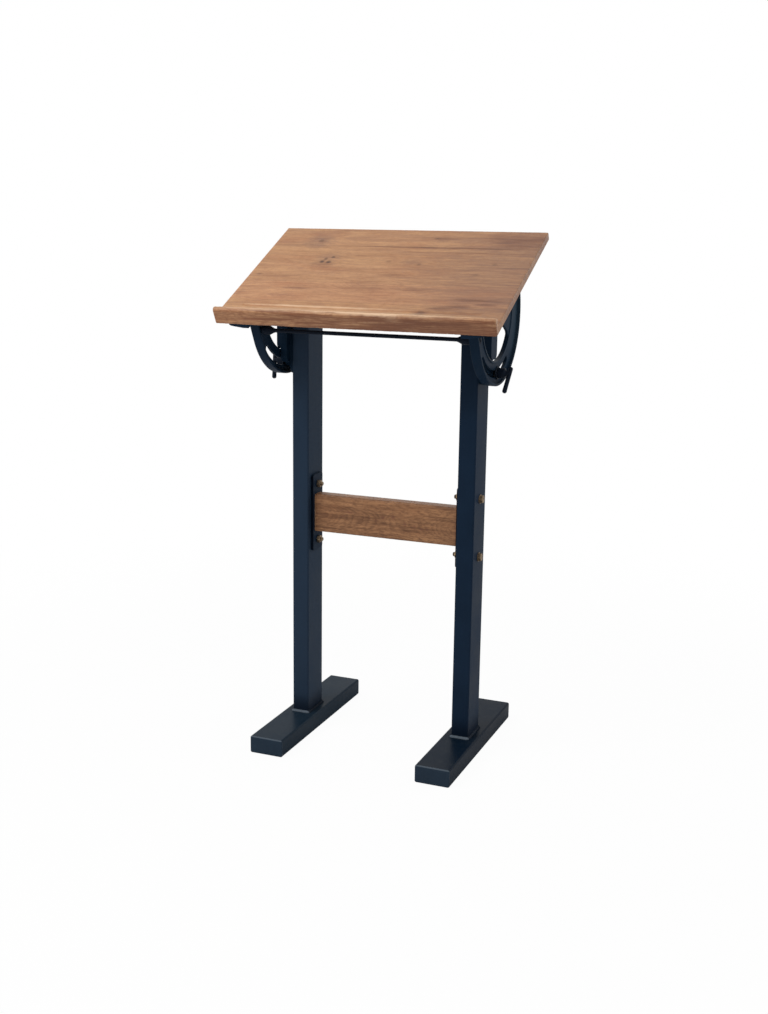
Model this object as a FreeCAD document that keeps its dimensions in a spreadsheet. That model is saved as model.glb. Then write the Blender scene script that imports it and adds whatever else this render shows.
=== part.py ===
import FreeCAD, Part
import math
import os
import re

import Sketcher
from FreeCAD import Placement, Rotation, Vector

# Clerk's standing desk: a tilting wooden top on two slotted quadrant castings, carried by two
# rectangular steel posts on flat feet, with a wooden stretcher between the posts.
# Millimetres. X is to the right, Y to the back, Z up; the origin is on the floor midway between
# the posts.

doc = FreeCAD.newDocument("StandingDesk")
sheet = doc.addObject("Spreadsheet::Sheet", "Sizes")

DRIVING = [
    # feet
    ("foot_pitch", 400), ("foot_len", 442), ("foot_wide", 80), ("foot_high", 40),
    ("foot_wall", 3), ("foot_round", 4), ("foot_cap_thick", 3),
    # posts
    ("post_wide", 40), ("post_deep", 80), ("post_top_at", 1036), ("post_wall", 3),
    ("post_round", 4), ("weld_leg", 5), ("post_cap_thick", 3), ("post_plug", 14), ("plug_gap", 0.3),
    # stretcher and its end plates
    ("rail_mid_at", 525), ("rail_high", 88), ("rail_thick", 34), ("rail_soften", 2.5),
    ("end_plate_thick", 6), ("end_plate_edge", 8), ("end_plate_margin", 24),
    ("end_plate_round", 6), ("rail_screw_pitch", 48), ("rail_screw_dia", 6),
    ("rail_screw_head", 12), ("rail_screw_len", 50), ("rail_bolt_out", 22),
    # hexagon bolts
    ("bolt_dia", 10), ("bolt_clear", 0.2), ("hex_flats", 16), ("hex_head", 6.4), ("nut_high", 8),
    ("bolt_tail", 5), ("washer_dia", 20), ("washer_thick", 2),
    # tilting top: pivot and board
    ("pivot_at_y", -19.5), ("pivot_below", 35.1), ("tilt", 26.87), ("pivot_dia", 14),
    ("run_gap", 0.05), ("side_gap", 0.3),
    ("desk_overhang", 26), ("desk_deep", 406), ("desk_thick", 18), ("front_reach", 192),
    ("under_rise", 60.5), ("desk_soften", 2), ("seam_bevel", 0.4), ("lip_thick", 15), ("lip_rise", 19),
    ("lip_end_round", 5), ("groove_back_at", 58), ("groove_wide", 12), ("groove_deep", 4),
    ("groove_stop", 40),
    # quadrant castings
    ("web_gap", 26), ("web_thick", 6), ("ring_radius", 150), ("ring_drop", 6),
    ("rim_thick", 5), ("rim_inward", 8), ("rim_outward", 7), ("gap_inset", 26),
    ("gap_top", 36), ("gap_round", 24), ("gap_back", 34), ("gap_back_ease", 12), ("bead_thick", 4), ("bead_proud", 2),
    ("slot_inset", 21), ("slot_wide", 16), ("slot_front", 71), ("slot_back", 8),
    ("flange_thick", 9), ("flange_edge", 3.5), ("flange_seat", 4), ("flange_reach", 43), ("flange_nose", 2), ("flange_tail", 48),
    ("flange_round", 12), ("cast_round", 1.5), ("lug_radius", 20), ("lug_proud", 6),
    ("desk_screw_dia", 5), ("desk_screw_bite", 12), ("desk_screw_head", 10),
    ("desk_screw_head_high", 3), ("desk_screw_nose", 18), ("desk_screw_tail", 38),
    ("desk_screw_inset", 15),
    # tie rod
    ("rod_dia", 10), ("rod_inset", 14), ("rod_up", 15), ("rod_cone_long", 13),
    ("rod_boss_long", 26), ("rod_boss_dia", 20), ("rod_neck_dia", 14), ("rod_thread", 8), ("rod_nut_flats", 13),
    ("rod_nut_high", 6.5), ("rod_tail", 1.5),
    # fixed brackets on the posts
    ("base_thick", 8), ("base_inset", 6), ("base_top_gap", 8), ("base_margin", 25.9),
    ("base_round", 16), ("arm_front", 32.5), ("arm_back", 7.5), ("arm_round", 16), ("arm_end_round", 12), ("arm_end_gap", 5), ("arm_top", 25),
    ("pivot_boss_dia", 40), ("clamp_boss_dia", 26),
    ("bead_clear", 0.6), ("pin_head_dia", 26), ("pin_head_thick", 4),
    ("bracket_bolt_y", 16), ("bracket_bolt_below", 25.9), ("bracket_bolt_above", 13.1),
    ("bracket_bolt_len", 26),
    # clamps
    ("clamp_back", 12), ("clamp_dia", 10), ("clamp_washer_dia", 29), ("clamp_washer_thick", 2.5),
    ("hub_dia", 22), ("hub_long", 16), ("hub_skin", 3), ("neck_dia", 12), ("neck_long", 8.9),
    ("bar_dia", 9.5), ("bar_up", 14.7), ("bar_down", 44.4), ("bar_lean", 8), ("lever_swing", 21.4),
    # small edges
    ("weld_land", 0.8), ("bolt_bevel", 1),
]

DERIVED = [
    ("foot_tube_len", "foot_len - 2 * foot_cap_thick"),
    ("post_tube_len", "post_top_at - foot_high"),
    ("post_inner", "foot_pitch / 2 - post_wide / 2"),
    ("post_outer", "foot_pitch / 2 + post_wide / 2"),
    ("plate_face", "post_inner - end_plate_thick"),
    ("rail_bolt_pitch", "rail_high + 2 * rail_bolt_out"),
    ("end_plate_wide", "rail_thick + 2 * end_plate_edge"),
    ("end_plate_high", "rail_bolt_pitch + 2 * end_plate_margin"),
    ("plate_low", "rail_mid_at - end_plate_high / 2"),
    ("hex_corner", "hex_flats / cos(30deg)"),
    ("rod_nut_corner", "rod_nut_flats / cos(30deg)"),
    ("bolt_hole", "bolt_dia + bolt_clear"),
    ("pivot_bore", "pivot_dia + 2 * run_gap"),
    ("clamp_bore", "clamp_dia + 2 * run_gap"),
    # across the desk, from the posts out
    ("bracket_face", "post_outer + base_thick"),
    ("web_at", "post_outer + web_gap"),
    ("web_face", "web_at + web_thick"),
    ("rim_near", "web_at - rim_inward"),
    ("boss_face", "web_at - side_gap"),
    ("bead_in", "web_at - bead_proud"),
    ("arm_face", "bead_in - bead_clear"),
    ("lug_face", "web_face + lug_proud"),
    ("flange_out", "web_at + flange_reach"),
    ("desk_screw_out", "flange_out - desk_screw_inset"),
    ("desk_wide", "2 * flange_out + 2 * desk_overhang"),
    ("rod_boss_end", "rim_near - side_gap"),
    ("rod_cone_to", "web_at - rod_boss_long"),
    ("rod_cone_from", "rod_cone_to - rod_cone_long"),
    ("washer_face", "web_face + side_gap"),
    ("hub_face", "washer_face + clamp_washer_thick + side_gap"),
    ("hub_end", "hub_face + hub_long"),
    ("bar_out", "hub_end + neck_long"),
    # along and up the board, from the pivot
    ("desk_top", "under_rise + desk_thick"),
    ("board_front", "front_reach - lip_thick"),
    ("board_back", "desk_deep - front_reach"),
    ("flange_low", "under_rise - flange_thick"),
    ("screw_seat", "under_rise - flange_seat"),
    ("flange_front", "front_reach - flange_nose"),
    ("flange_back", "board_back - flange_tail"),
    ("desk_screw_first", "flange_front - desk_screw_nose"),
    ("desk_screw_pitch", "(desk_screw_first + flange_back - desk_screw_tail) / 3"),
    ("slot_mid", "ring_radius - slot_inset"),
    ("slot_out", "slot_mid + slot_wide / 2"),
    ("slot_in", "slot_mid - slot_wide / 2"),
    ("gap_radius", "slot_mid - gap_inset"),
    ("web_reach", "gap_radius + bead_thick"),
    ("rod_front", "ring_radius - rod_inset"),
    # heights
    ("pivot_at_z", "post_top_at - pivot_below"),
    ("clamp_at_y", "pivot_at_y + clamp_back"),
    ("clamp_z", "pivot_at_z - sqrt(slot_mid ^ 2 - clamp_back ^ 2)"),
    ("base_high", "post_top_at - base_top_gap"),
    ("base_low", "clamp_z - base_margin"),
    ("base_deep", "post_deep - 2 * base_inset"),
    ("arm_low_z", "pivot_at_z - gap_radius + arm_end_gap"),
    ("arm_high_z", "pivot_at_z - arm_top"),
    ("bracket_bolt_high", "pivot_at_z - bracket_bolt_below"),
    ("bracket_bolt_low", "clamp_z + bracket_bolt_above"),
]

for ring in ("slot_out", "slot_in", "slot_mid"):
    for end, angle in (("a", "slot_back"), ("b", "slot_front")):
        DERIVED.append((ring + "_" + end + "y", "%s * sin(%s * 1deg)" % (ring, angle)))
        DERIVED.append((ring + "_" + end + "z", "%s * cos(%s * 1deg)" % (ring, angle)))

# Points of the solid back of the web: how far out, and how far round from straight down.
WEB_BACK = [("gap_radius - gap_back_ease", "gap_back"),
            ("web_reach", "gap_back - gap_back_ease / 2")]
WEB_BACK += [("web_reach", "gap_back + %d * (90 - gap_back) / 3" % step) for step in range(4)]
for index, (reach, angle) in enumerate(WEB_BACK):
    for letter, turn in (("y", "sin"), ("z", "cos")):
        DERIVED.append(("web_back_%d%s" % (index, letter),
                        "(%s) * %s((%s) * 1deg)" % (reach, turn, angle)))


def fill(cells, first, lead):
    for index, (alias, value) in enumerate(cells):
        cell = "A%d" % (first + index)
        sheet.set(cell, lead + str(value))
        sheet.setAlias(cell, alias)


fill(DRIVING, 1, "")
doc.recompute()
fill(DERIVED, len(DRIVING) + 1, "=")
doc.recompute()

TERM = re.compile(r"([+-]?)\s*(?:([\d.]+)\s*\*\s*)?([a-z_][a-z_0-9]*|[\d.]+)(?:\s*/\s*([\d.]+))?")


def num(text):
    """Number of a sum such as 'a + b / 2 - 2 * c' of sheet aliases."""
    total = 0.0
    for sign, factor, name, share in TERM.findall(str(text)):
        value = float(name) if name[0].isdigit() else float(sheet.get(name))
        value *= float(factor or 1) / float(share or 1)
        total += -value if sign == "-" else value
    return total


def expr(text):
    return re.sub(r"([a-z_][a-z_0-9]*)", r"Sizes.\1", str(text))


def bind(feature, path, text):
    feature.setExpression(path, expr(text))


def negate(text):
    text = str(text)
    if text.startswith("-") and "+" not in text and "-" not in text[1:]:
        return text[1:].strip()
    flipped = "".join({"+": "-", "-": "+"}.get(char, char) for char in text.strip())
    return flipped if flipped[0] in "+-" else "-" + flipped


def flip(text, side):
    return text if side > 0 else negate(text)


def new_body(label):
    body = doc.addObject("PartDesign::Body", label)
    body.Label = label
    body.AllowCompound = True
    return body


def holder(target):
    """A body is added to; a label starts a new one."""
    return new_body(target) if isinstance(target, str) else target


def origin(body, role):
    return [part for part in body.Origin.OriginFeatures if part.Role == role][0]


def new_sketch(body, role, offset="0", shift=("0", "0"), lean=None):
    sketch = body.newObject("Sketcher::SketchObject", body.Label + "_outline")
    sketch.AttachmentSupport = (origin(body, role), "")
    sketch.MapMode = "FlatFace"
    if lean:
        sketch.AttachmentOffset = Placement(Vector(0, 0, 0), Rotation(Vector(0, 0, 1), 1))
        sketch.setExpression("AttachmentOffset.Rotation.Angle", lean)
    lift = negate(offset) if role == "XZ_Plane" else offset
    bind(sketch, "AttachmentOffset.Base.z", lift)
    for axis, text in zip("xy", shift):
        bind(sketch, "AttachmentOffset.Base." + axis, text)
    return sketch


def pin(sketch, geometry, point, at):
    """Hold a sketch point at two sheet sizes, measured from the sketch's origin."""
    for kind, text in zip(("DistanceX", "DistanceY"), at):
        value = num(text)
        if abs(value) < 1e-9:
            sketch.addConstraint(Sketcher.Constraint("PointOnObject", geometry, point,
                                                     -2 if kind == "DistanceX" else -1))
            continue
        index = sketch.addConstraint(Sketcher.Constraint(kind, -1, 1, geometry, point, value))
        sketch.setExpression("Constraints[%d]" % index, expr(text))


def polygon(sketch, corners):
    points = [Vector(num(a), num(b), 0) for a, b in corners]
    first = sketch.GeometryCount
    count = len(points)
    for index in range(count):
        sketch.addGeometry(Part.LineSegment(points[index], points[(index + 1) % count]), False)
    for index in range(count):
        sketch.addConstraint(Sketcher.Constraint("Coincident", first + index, 2,
                                                 first + (index + 1) % count, 1))
    for index in range(count):
        pin(sketch, first + index, 1, corners[index])


def rectangle(sketch, low, high):
    polygon(sketch, [low, (high[0], low[1]), high, (low[0], high[1])])


def soft_rectangle(sketch, low, high, radius):
    """Rectangle with round corners, each tangent point held by the corner and the radius."""
    size = num(radius)
    signs = ((1, 1), (-1, 1), (-1, -1), (1, -1))
    corners = (low, (high[0], low[1]), high, (low[0], high[1]))
    first = sketch.GeometryCount
    for corner, (across, up), turn in zip(corners, signs, range(4)):
        middle = Vector(num(corner[0]) + across * size, num(corner[1]) + up * size, 0)
        start = math.pi * (1 + turn / 2)
        arc = sketch.addGeometry(Part.ArcOfCircle(Part.Circle(middle, Vector(0, 0, 1), size),
                                                  start, start + math.pi / 2), False)
        beside = (corner[0], corner[1] + (" + " if up > 0 else " - ") + radius)
        along_side = (corner[0] + (" + " if across > 0 else " - ") + radius, corner[1])
        ends = (beside, along_side) if turn % 2 == 0 else (along_side, beside)
        pin(sketch, arc, 1, ends[0])
        pin(sketch, arc, 2, ends[1])
        held = sketch.addConstraint(Sketcher.Constraint("Radius", arc, size))
        sketch.setExpression("Constraints[%d]" % held, expr(radius))
    for turn in range(4):
        here, there = sketch.Geometry[first + turn], sketch.Geometry[first + (turn + 1) % 4]
        line = sketch.addGeometry(Part.LineSegment(here.EndPoint, there.StartPoint), False)
        sketch.addConstraint(Sketcher.Constraint("Coincident", line, 1, first + turn, 2))
        sketch.addConstraint(Sketcher.Constraint("Coincident", line, 2,
                                                 first + (turn + 1) % 4, 1))


def circle(sketch, centre, diameter):
    radius = num(diameter) / 2
    index = sketch.addGeometry(Part.Circle(Vector(num(centre[0]), num(centre[1]), 0),
                                           Vector(0, 0, 1), radius), False)
    pin(sketch, index, 3, centre)
    size = sketch.addConstraint(Sketcher.Constraint("Diameter", index, 2 * radius))
    sketch.setExpression("Constraints[%d]" % size, expr(diameter))


def hexagon(sketch, centre, corner_dia):
    """Regular hexagon held by its centre and its width across corners."""
    middle = Vector(num(centre[0]), num(centre[1]), 0)
    radius = num(corner_dia) / 2
    first = sketch.GeometryCount
    points = [middle + Vector(radius * math.cos(math.radians(60 * turn)),
                              radius * math.sin(math.radians(60 * turn)), 0) for turn in range(6)]
    for index in range(6):
        sketch.addGeometry(Part.LineSegment(points[index], points[(index + 1) % 6]), False)
    ring = sketch.addGeometry(Part.Circle(middle, Vector(0, 0, 1), radius), True)
    for index in range(6):
        sketch.addConstraint(Sketcher.Constraint("Coincident", first + index, 2,
                                                 first + (index + 1) % 6, 1))
        sketch.addConstraint(Sketcher.Constraint("PointOnObject", first + index, 1, ring))
    for index in range(1, 6):
        sketch.addConstraint(Sketcher.Constraint("Equal", first, first + index))
    pin(sketch, ring, 3, centre)
    size = sketch.addConstraint(Sketcher.Constraint("Diameter", ring, 2 * radius))
    sketch.setExpression("Constraints[%d]" % size, expr(corner_dia))
    sketch.addConstraint(Sketcher.Constraint("Vertical", first + 1, 1, first + 4, 2))


def u_outline(sketch, radius, drop, top):
    """Half round below, straight sides up to a flat top."""
    size, low, high = num(radius), -num(drop), num(top)
    arc = sketch.addGeometry(Part.ArcOfCircle(Part.Circle(Vector(0, low, 0), Vector(0, 0, 1), size),
                                              math.pi, 2 * math.pi), False)
    corners = [Vector(size, low, 0), Vector(size, high, 0), Vector(-size, high, 0),
               Vector(-size, low, 0)]
    sides = [sketch.addGeometry(Part.LineSegment(corners[index], corners[index + 1]), False)
             for index in range(3)]
    join = Sketcher.Constraint
    sketch.addConstraint(join("Coincident", sides[0], 2, sides[1], 1))
    sketch.addConstraint(join("Coincident", sides[1], 2, sides[2], 1))
    sketch.addConstraint(join("Tangent", arc, 2, sides[0], 1))
    sketch.addConstraint(join("Tangent", arc, 1, sides[2], 2))
    sketch.addConstraint(join("Vertical", sides[0]))
    sketch.addConstraint(join("Vertical", sides[2]))
    sketch.addConstraint(join("Horizontal", sides[1]))
    pin(sketch, arc, 3, ("0", negate(drop)))
    held = sketch.addConstraint(join("Radius", arc, size))
    sketch.setExpression("Constraints[%d]" % held, expr(radius))
    held = sketch.addConstraint(join("DistanceY", -1, 1, sides[0], 2, high))
    sketch.setExpression("Constraints[%d]" % held, expr(top))


def ring_sector(sketch):
    """Part of a ring about the pivot, from the front end of the tilt to the back end."""
    first = sketch.GeometryCount
    ends = [math.radians(-90 - num("slot_front")), math.radians(-90 + num("slot_back"))]
    corners = []
    for size in ("slot_out", "slot_in"):
        arc = sketch.addGeometry(Part.ArcOfCircle(
            Part.Circle(Vector(0, 0, 0), Vector(0, 0, 1), num(size)), *ends), False)
        for point, end in ((1, "b"), (2, "a")):
            across, down = (size + "_" + end + letter for letter in "yz")
            pin(sketch, arc, point, ("-" + across if end == "b" else across, "-" + down))
        held = sketch.addConstraint(Sketcher.Constraint("Radius", arc, num(size)))
        sketch.setExpression("Constraints[%d]" % held, expr(size))
        curve = sketch.Geometry[arc]
        corners.append((curve.StartPoint, curve.EndPoint))
    for point in (1, 2):
        line = sketch.addGeometry(Part.LineSegment(corners[0][point - 1], corners[1][point - 1]),
                                  False)
        sketch.addConstraint(Sketcher.Constraint("Coincident", line, 1, first, point))
        sketch.addConstraint(Sketcher.Constraint("Coincident", line, 2, first + 1, point))


def settle(body, feature):
    body.Tip = feature
    doc.recompute()
    return feature


def pad(body, sketch, length, back=False):
    feature = body.newObject("PartDesign::Pad", body.Label + "_pad")
    feature.Profile = sketch
    bind(feature, "Length", length)
    feature.Reversed = back
    sketch.Visibility = False
    return settle(body, feature)


def cut(body, sketch, length=None, back=False):
    """Pocket against the sketch's normal, along it where back is set, or right through."""
    before = body.Tip.Shape.Volume
    feature = body.newObject("PartDesign::Pocket", body.Label + "_cut")
    feature.Profile = sketch
    if length is None:
        feature.Type = "ThroughAll"
        feature.SideType = "Symmetric"
    else:
        bind(feature, "Length", length)
        feature.Reversed = back
    sketch.Visibility = False
    settle(body, feature)
    if feature.Shape.Volume > before - 1e-3:
        raise ValueError("nothing was cut from " + body.Label)
    return feature


def spin(body, sketch, axis="H_Axis"):
    feature = body.newObject("PartDesign::Revolution", body.Label + "_turned")
    feature.Profile = sketch
    feature.ReferenceAxis = (sketch, [axis])
    feature.Angle = 360
    sketch.Visibility = False
    return settle(body, feature)


NEAR = 0.1  # an edge is picked where it lies this close to the face it belongs to


def edge_names(shape, wanted):
    return ["Edge%d" % (index + 1) for index, edge in enumerate(shape.Edges) if wanted(edge)]


def along(edge, axis):
    if edge.Curve.TypeId != "Part::GeomLine":
        return False
    way = edge.Curve.Direction
    return abs(abs((way.x, way.y, way.z)[axis]) - 1) < 1e-6


def round_over(body, radius, wanted):
    base = body.Tip
    feature = body.newObject("PartDesign::Fillet", body.Label + "_round")
    feature.Base = (base, edge_names(base.Shape, wanted))
    bind(feature, "Radius", radius)
    return settle(body, feature)


def bevel(body, size, wanted):
    base = body.Tip
    feature = body.newObject("PartDesign::Chamfer", body.Label + "_bevel")
    feature.Base = (base, edge_names(base.Shape, wanted))
    bind(feature, "Size", size)
    return settle(body, feature)


def mirrored(body, role="YZ_Plane"):
    """Add the mirror image of everything made so far."""
    feature = body.newObject("PartDesign::Mirrored", body.Label + "_mirror")
    feature.TransformMode = "Whole shape"
    feature.MirrorPlane = (origin(body, role), [""])
    return settle(body, feature)


def repeated(body, role, pitch, count=2):
    """Repeat everything made so far along an axis."""
    feature = body.newObject("PartDesign::LinearPattern", body.Label + "_row")
    feature.TransformMode = "Whole shape"
    feature.Direction = (origin(body, role), [""])
    feature.Mode = "Spacing"
    bind(feature, "Offset", pitch)
    feature.Occurrences = count
    return settle(body, feature)


def tilted(body, at=("pivot_at_y", "pivot_at_z"), turn="tilt", way=1):
    """Seat a body drawn level about the origin at its pivot, turned about the X axis."""
    body.Placement = Placement(Vector(0, 0, 0), Rotation(Vector(way, 0, 0), 1))
    bind(body, "Placement.Base.y", at[0])
    bind(body, "Placement.Base.z", at[1])
    body.setExpression("Placement.Rotation.Angle", "Sizes.%s * 1 deg" % turn)
    doc.recompute()


def box_tube(label, role, start, length, low, high, wall, corner, axis):
    """Rectangular tube: outside rounded, bore cut right through."""
    body = new_body(label)
    outline = new_sketch(body, role, start)
    rectangle(outline, low, high)
    pad(body, outline, length, back=role == "XZ_Plane")
    round_over(body, corner, lambda edge: along(edge, axis))
    bore = new_sketch(body, role, start)
    rectangle(bore, [text + " + " + wall for text in low], [text + " - " + wall for text in high])
    cut(body, bore)
    return body


def slab(target, side, near, low, high, thick):
    """Plate standing in the YZ plane, from its face nearer the middle outward."""
    body = holder(target)
    outline = new_sketch(body, "YZ_Plane", flip(near, side))
    rectangle(outline, low, high)
    pad(body, outline, thick, back=side < 0)
    return body


def disc(body, side, near, centre, diameter, thick):
    outline = new_sketch(body, "YZ_Plane", flip(near, side))
    circle(outline, centre, diameter)
    return pad(body, outline, thick, back=side < 0)


def bore_through(body, centres, diameter):
    outline = new_sketch(body, "YZ_Plane")
    for centre in centres:
        circle(outline, centre, diameter)
    return cut(body, outline)


def turned(target, at, profile, plane="XZ_Plane", axis="H_Axis", lean=None):
    """Turned piece: profile about an axis through 'at' = (offset, shift across, shift up)."""
    body = holder(target)
    outline = new_sketch(body, plane, at[0], at[1:], lean)
    polygon(outline, profile)
    spin(body, outline, axis)
    return body


def dome(end, step):
    """Rounded end of the lever bar: profile points from its side to its axis."""
    return [("bar_dia / 2 * %g" % math.cos(turn), "%s + %g * bar_dia / 2" % (end, step * math.sin(turn)))
            for turn in (0, math.pi / 6, math.pi / 3)] + [("0", "%s + %g * bar_dia / 2" % (end, step))]


SIDES = (("left", -1), ("right", 1))
HUB = ("0", "0")

# Feet.
for name, side in SIDES:
    mid = flip("foot_pitch / 2", side)
    box_tube("foot_" + name, "XZ_Plane", "-foot_tube_len / 2", "foot_tube_len",
             (mid + " - foot_wide / 2", "0"), (mid + " + foot_wide / 2", "foot_high"),
             "foot_wall", "foot_round", 1)

body = new_body("foot_end_caps")
outline = new_sketch(body, "XZ_Plane", "-foot_len / 2")
rectangle(outline, ("foot_pitch / 2 - foot_wide / 2", "0"),
          ("foot_pitch / 2 + foot_wide / 2", "foot_high"))
pad(body, outline, "foot_cap_thick", back=True)
round_over(body, "foot_round", lambda edge: along(edge, 1))
mirrored(body, "XZ_Plane")
mirrored(body)

# Posts.
RAIL_BOLTS = [("0", "rail_mid_at + rail_bolt_pitch / 2"), ("0", "rail_mid_at - rail_bolt_pitch / 2")]
BRACKET_BOLTS = [("bracket_bolt_y", "bracket_bolt_high"), ("bracket_bolt_y", "bracket_bolt_low")]

for name, side in SIDES:
    mid = flip("foot_pitch / 2", side)
    body = box_tube("post_" + name, "XY_Plane", "foot_high", "post_tube_len",
                    (mid + " - post_wide / 2", "-post_deep / 2"),
                    (mid + " + post_wide / 2", "post_deep / 2"), "post_wall", "post_round", 2)
    bore_through(body, RAIL_BOLTS, "bolt_hole")
    holes = new_sketch(body, "YZ_Plane", flip("post_outer", side))
    for centre in BRACKET_BOLTS:
        circle(holes, centre, "bolt_hole")
    cut(body, holes, "post_wall", back=side < 0)

body = new_body("post_welds")
outline = new_sketch(body, "XY_Plane", "foot_high")
rectangle(outline, ("post_inner - weld_leg", "-post_deep / 2 - weld_leg"),
          ("post_outer + weld_leg", "post_deep / 2 + weld_leg"))
pad(body, outline, "weld_leg")
round_over(body, "post_round + weld_leg", lambda edge: along(edge, 2))
high = num("foot_high + weld_leg")
bevel(body, "weld_leg - weld_land", lambda edge: edge.BoundBox.ZMin > high - NEAR)
bore = new_sketch(body, "XY_Plane", "foot_high")
soft_rectangle(bore, ("post_inner", "-post_deep / 2"), ("post_outer", "post_deep / 2"), "post_round")
cut(body, bore)
mirrored(body)

body = new_body("post_caps")
outline = new_sketch(body, "XY_Plane", "post_top_at")
rectangle(outline, ("post_inner", "-post_deep / 2"), ("post_outer", "post_deep / 2"))
pad(body, outline, "post_cap_thick")
round_over(body, "post_round", lambda edge: along(edge, 2))
bevel(body, "post_cap_thick / 2", lambda edge: edge.BoundBox.ZMin > body.Shape.BoundBox.ZMax - NEAR)
plug = new_sketch(body, "XY_Plane", "post_top_at")
rectangle(plug, ("post_inner + post_wall + plug_gap", "-post_deep / 2 + post_wall + plug_gap"),
          ("post_outer - post_wall - plug_gap", "post_deep / 2 - post_wall - plug_gap"))
pad(body, plug, "post_plug", back=True)
hollow = new_sketch(body, "XY_Plane", "post_top_at - post_plug")
rectangle(hollow, ("post_inner + 2 * post_wall", "-post_deep / 2 + 2 * post_wall"),
          ("post_outer - 2 * post_wall", "post_deep / 2 - 2 * post_wall"))
cut(body, hollow, "post_plug", back=True)
mirrored(body)

# Stretcher.
RAIL_SCREWS = [("0", "rail_mid_at + rail_screw_pitch / 2"),
               ("0", "rail_mid_at - rail_screw_pitch / 2")]

body = new_body("stretcher")
outline = new_sketch(body, "YZ_Plane", "-plate_face")
rectangle(outline, ("-rail_thick / 2", "rail_mid_at - rail_high / 2"),
          ("rail_thick / 2", "rail_mid_at + rail_high / 2"))
pad(body, outline, "2 * plate_face")
round_over(body, "rail_soften", lambda edge: along(edge, 0))
for name, side in SIDES:
    holes = new_sketch(body, "YZ_Plane", flip("plate_face", side))
    for centre in RAIL_SCREWS:
        circle(holes, centre, "rail_screw_dia + bolt_clear")
    cut(body, holes, "rail_screw_len - end_plate_thick", back=side < 0)

for name, side in SIDES:
    body = slab("stretcher_plate_" + name, side, "plate_face", ("-end_plate_wide / 2", "plate_low"),
                ("end_plate_wide / 2", "plate_low + end_plate_high"), "end_plate_thick")
    round_over(body, "end_plate_round", lambda edge: along(edge, 0))
    bore_through(body, RAIL_BOLTS, "bolt_hole")
    bore_through(body, RAIL_SCREWS, "rail_screw_dia + bolt_clear")
    seat, small = num("post_inner"), num("rail_screw_dia + bolt_clear") / 2
    bevel(body, "rail_screw_head / 2 - rail_screw_dia / 2",
          lambda edge: edge.Curve.TypeId == "Part::GeomCircle"
          and abs(edge.Curve.Radius - small) < NEAR
          and abs(abs(edge.Curve.Center.x) - seat) < NEAR)

body = turned("stretcher_screws", ("0", "0", "rail_mid_at - rail_screw_pitch / 2"), [
    ("post_inner - rail_screw_len", "0"), ("post_inner", "0"), ("post_inner", "rail_screw_head / 2"),
    ("post_inner - rail_screw_head / 2 + rail_screw_dia / 2", "rail_screw_dia / 2"),
    ("post_inner - rail_screw_len + rail_screw_dia", "rail_screw_dia / 2")])
repeated(body, "Z_Axis", "rail_screw_pitch")
mirrored(body)

body = turned("stretcher_bolts", ("0", "0", "rail_mid_at - rail_bolt_pitch / 2"), [
    ("plate_face - nut_high - bolt_tail", "0"), ("post_outer + washer_thick", "0"),
    ("post_outer + washer_thick", "bolt_dia / 2"),
    ("plate_face - nut_high - bolt_tail + bolt_bevel", "bolt_dia / 2"),
    ("plate_face - nut_high - bolt_tail", "bolt_dia / 2 - bolt_bevel")])
head = new_sketch(body, "YZ_Plane", "post_outer + washer_thick")
hexagon(head, ("0", "rail_mid_at - rail_bolt_pitch / 2"), "hex_corner")
pad(body, head, "hex_head")
repeated(body, "Z_Axis", "rail_bolt_pitch")
mirrored(body)

body = new_body("stretcher_nuts")
nut = new_sketch(body, "YZ_Plane", "plate_face - nut_high")
hexagon(nut, ("0", "rail_mid_at - rail_bolt_pitch / 2"), "hex_corner")
circle(nut, ("0", "rail_mid_at - rail_bolt_pitch / 2"), "bolt_hole")
pad(body, nut, "nut_high")
repeated(body, "Z_Axis", "rail_bolt_pitch")
mirrored(body)

body = new_body("stretcher_washers")
washer = new_sketch(body, "YZ_Plane", "post_outer")
circle(washer, ("0", "rail_mid_at - rail_bolt_pitch / 2"), "washer_dia")
circle(washer, ("0", "rail_mid_at - rail_bolt_pitch / 2"), "bolt_hole")
pad(body, washer, "washer_thick")
repeated(body, "Z_Axis", "rail_bolt_pitch")
mirrored(body)

# Fixed brackets, pivot pins and clamp studs.
PIVOT = ("pivot_at_y", "pivot_at_z")
CLAMP = ("clamp_at_y", "clamp_z")

for name, side in SIDES:
    body = slab("post_bracket_" + name, side, "post_outer", ("-base_deep / 2", "base_low"),
                ("base_deep / 2", "base_high"), "base_thick")
    round_over(body, "base_round", lambda edge: along(edge, 0))
    slab(body, side, "bracket_face", ("pivot_at_y - arm_front", "clamp_z"),
         ("pivot_at_y + arm_back", "pivot_at_z"), "arm_face - bracket_face")
    front = num("pivot_at_y - arm_front") + NEAR
    round_over(body, "arm_round", lambda edge: along(edge, 0) and edge.BoundBox.YMax < front)
    slab(body, side, "arm_face", ("pivot_at_y - arm_front", "arm_low_z"),
         ("pivot_at_y + arm_back", "arm_high_z"), "web_face - arm_face")
    end = num("arm_low_z") + NEAR
    reach = num("arm_face") + NEAR
    round_over(body, "arm_end_round", lambda edge: along(edge, 0)
               and edge.BoundBox.ZMax < end and edge.BoundBox.ZMin > end - 2 * NEAR
               and max(abs(edge.BoundBox.XMin), abs(edge.BoundBox.XMax)) > reach)
    disc(body, side, "bracket_face", PIVOT, "pivot_boss_dia", "boss_face - bracket_face")
    disc(body, side, "bracket_face", CLAMP, "clamp_boss_dia", "boss_face - bracket_face")
    bore_through(body, [PIVOT], "pivot_bore")
    bore_through(body, [CLAMP], "clamp_bore")
    bore_through(body, BRACKET_BOLTS, "bolt_hole")

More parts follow.
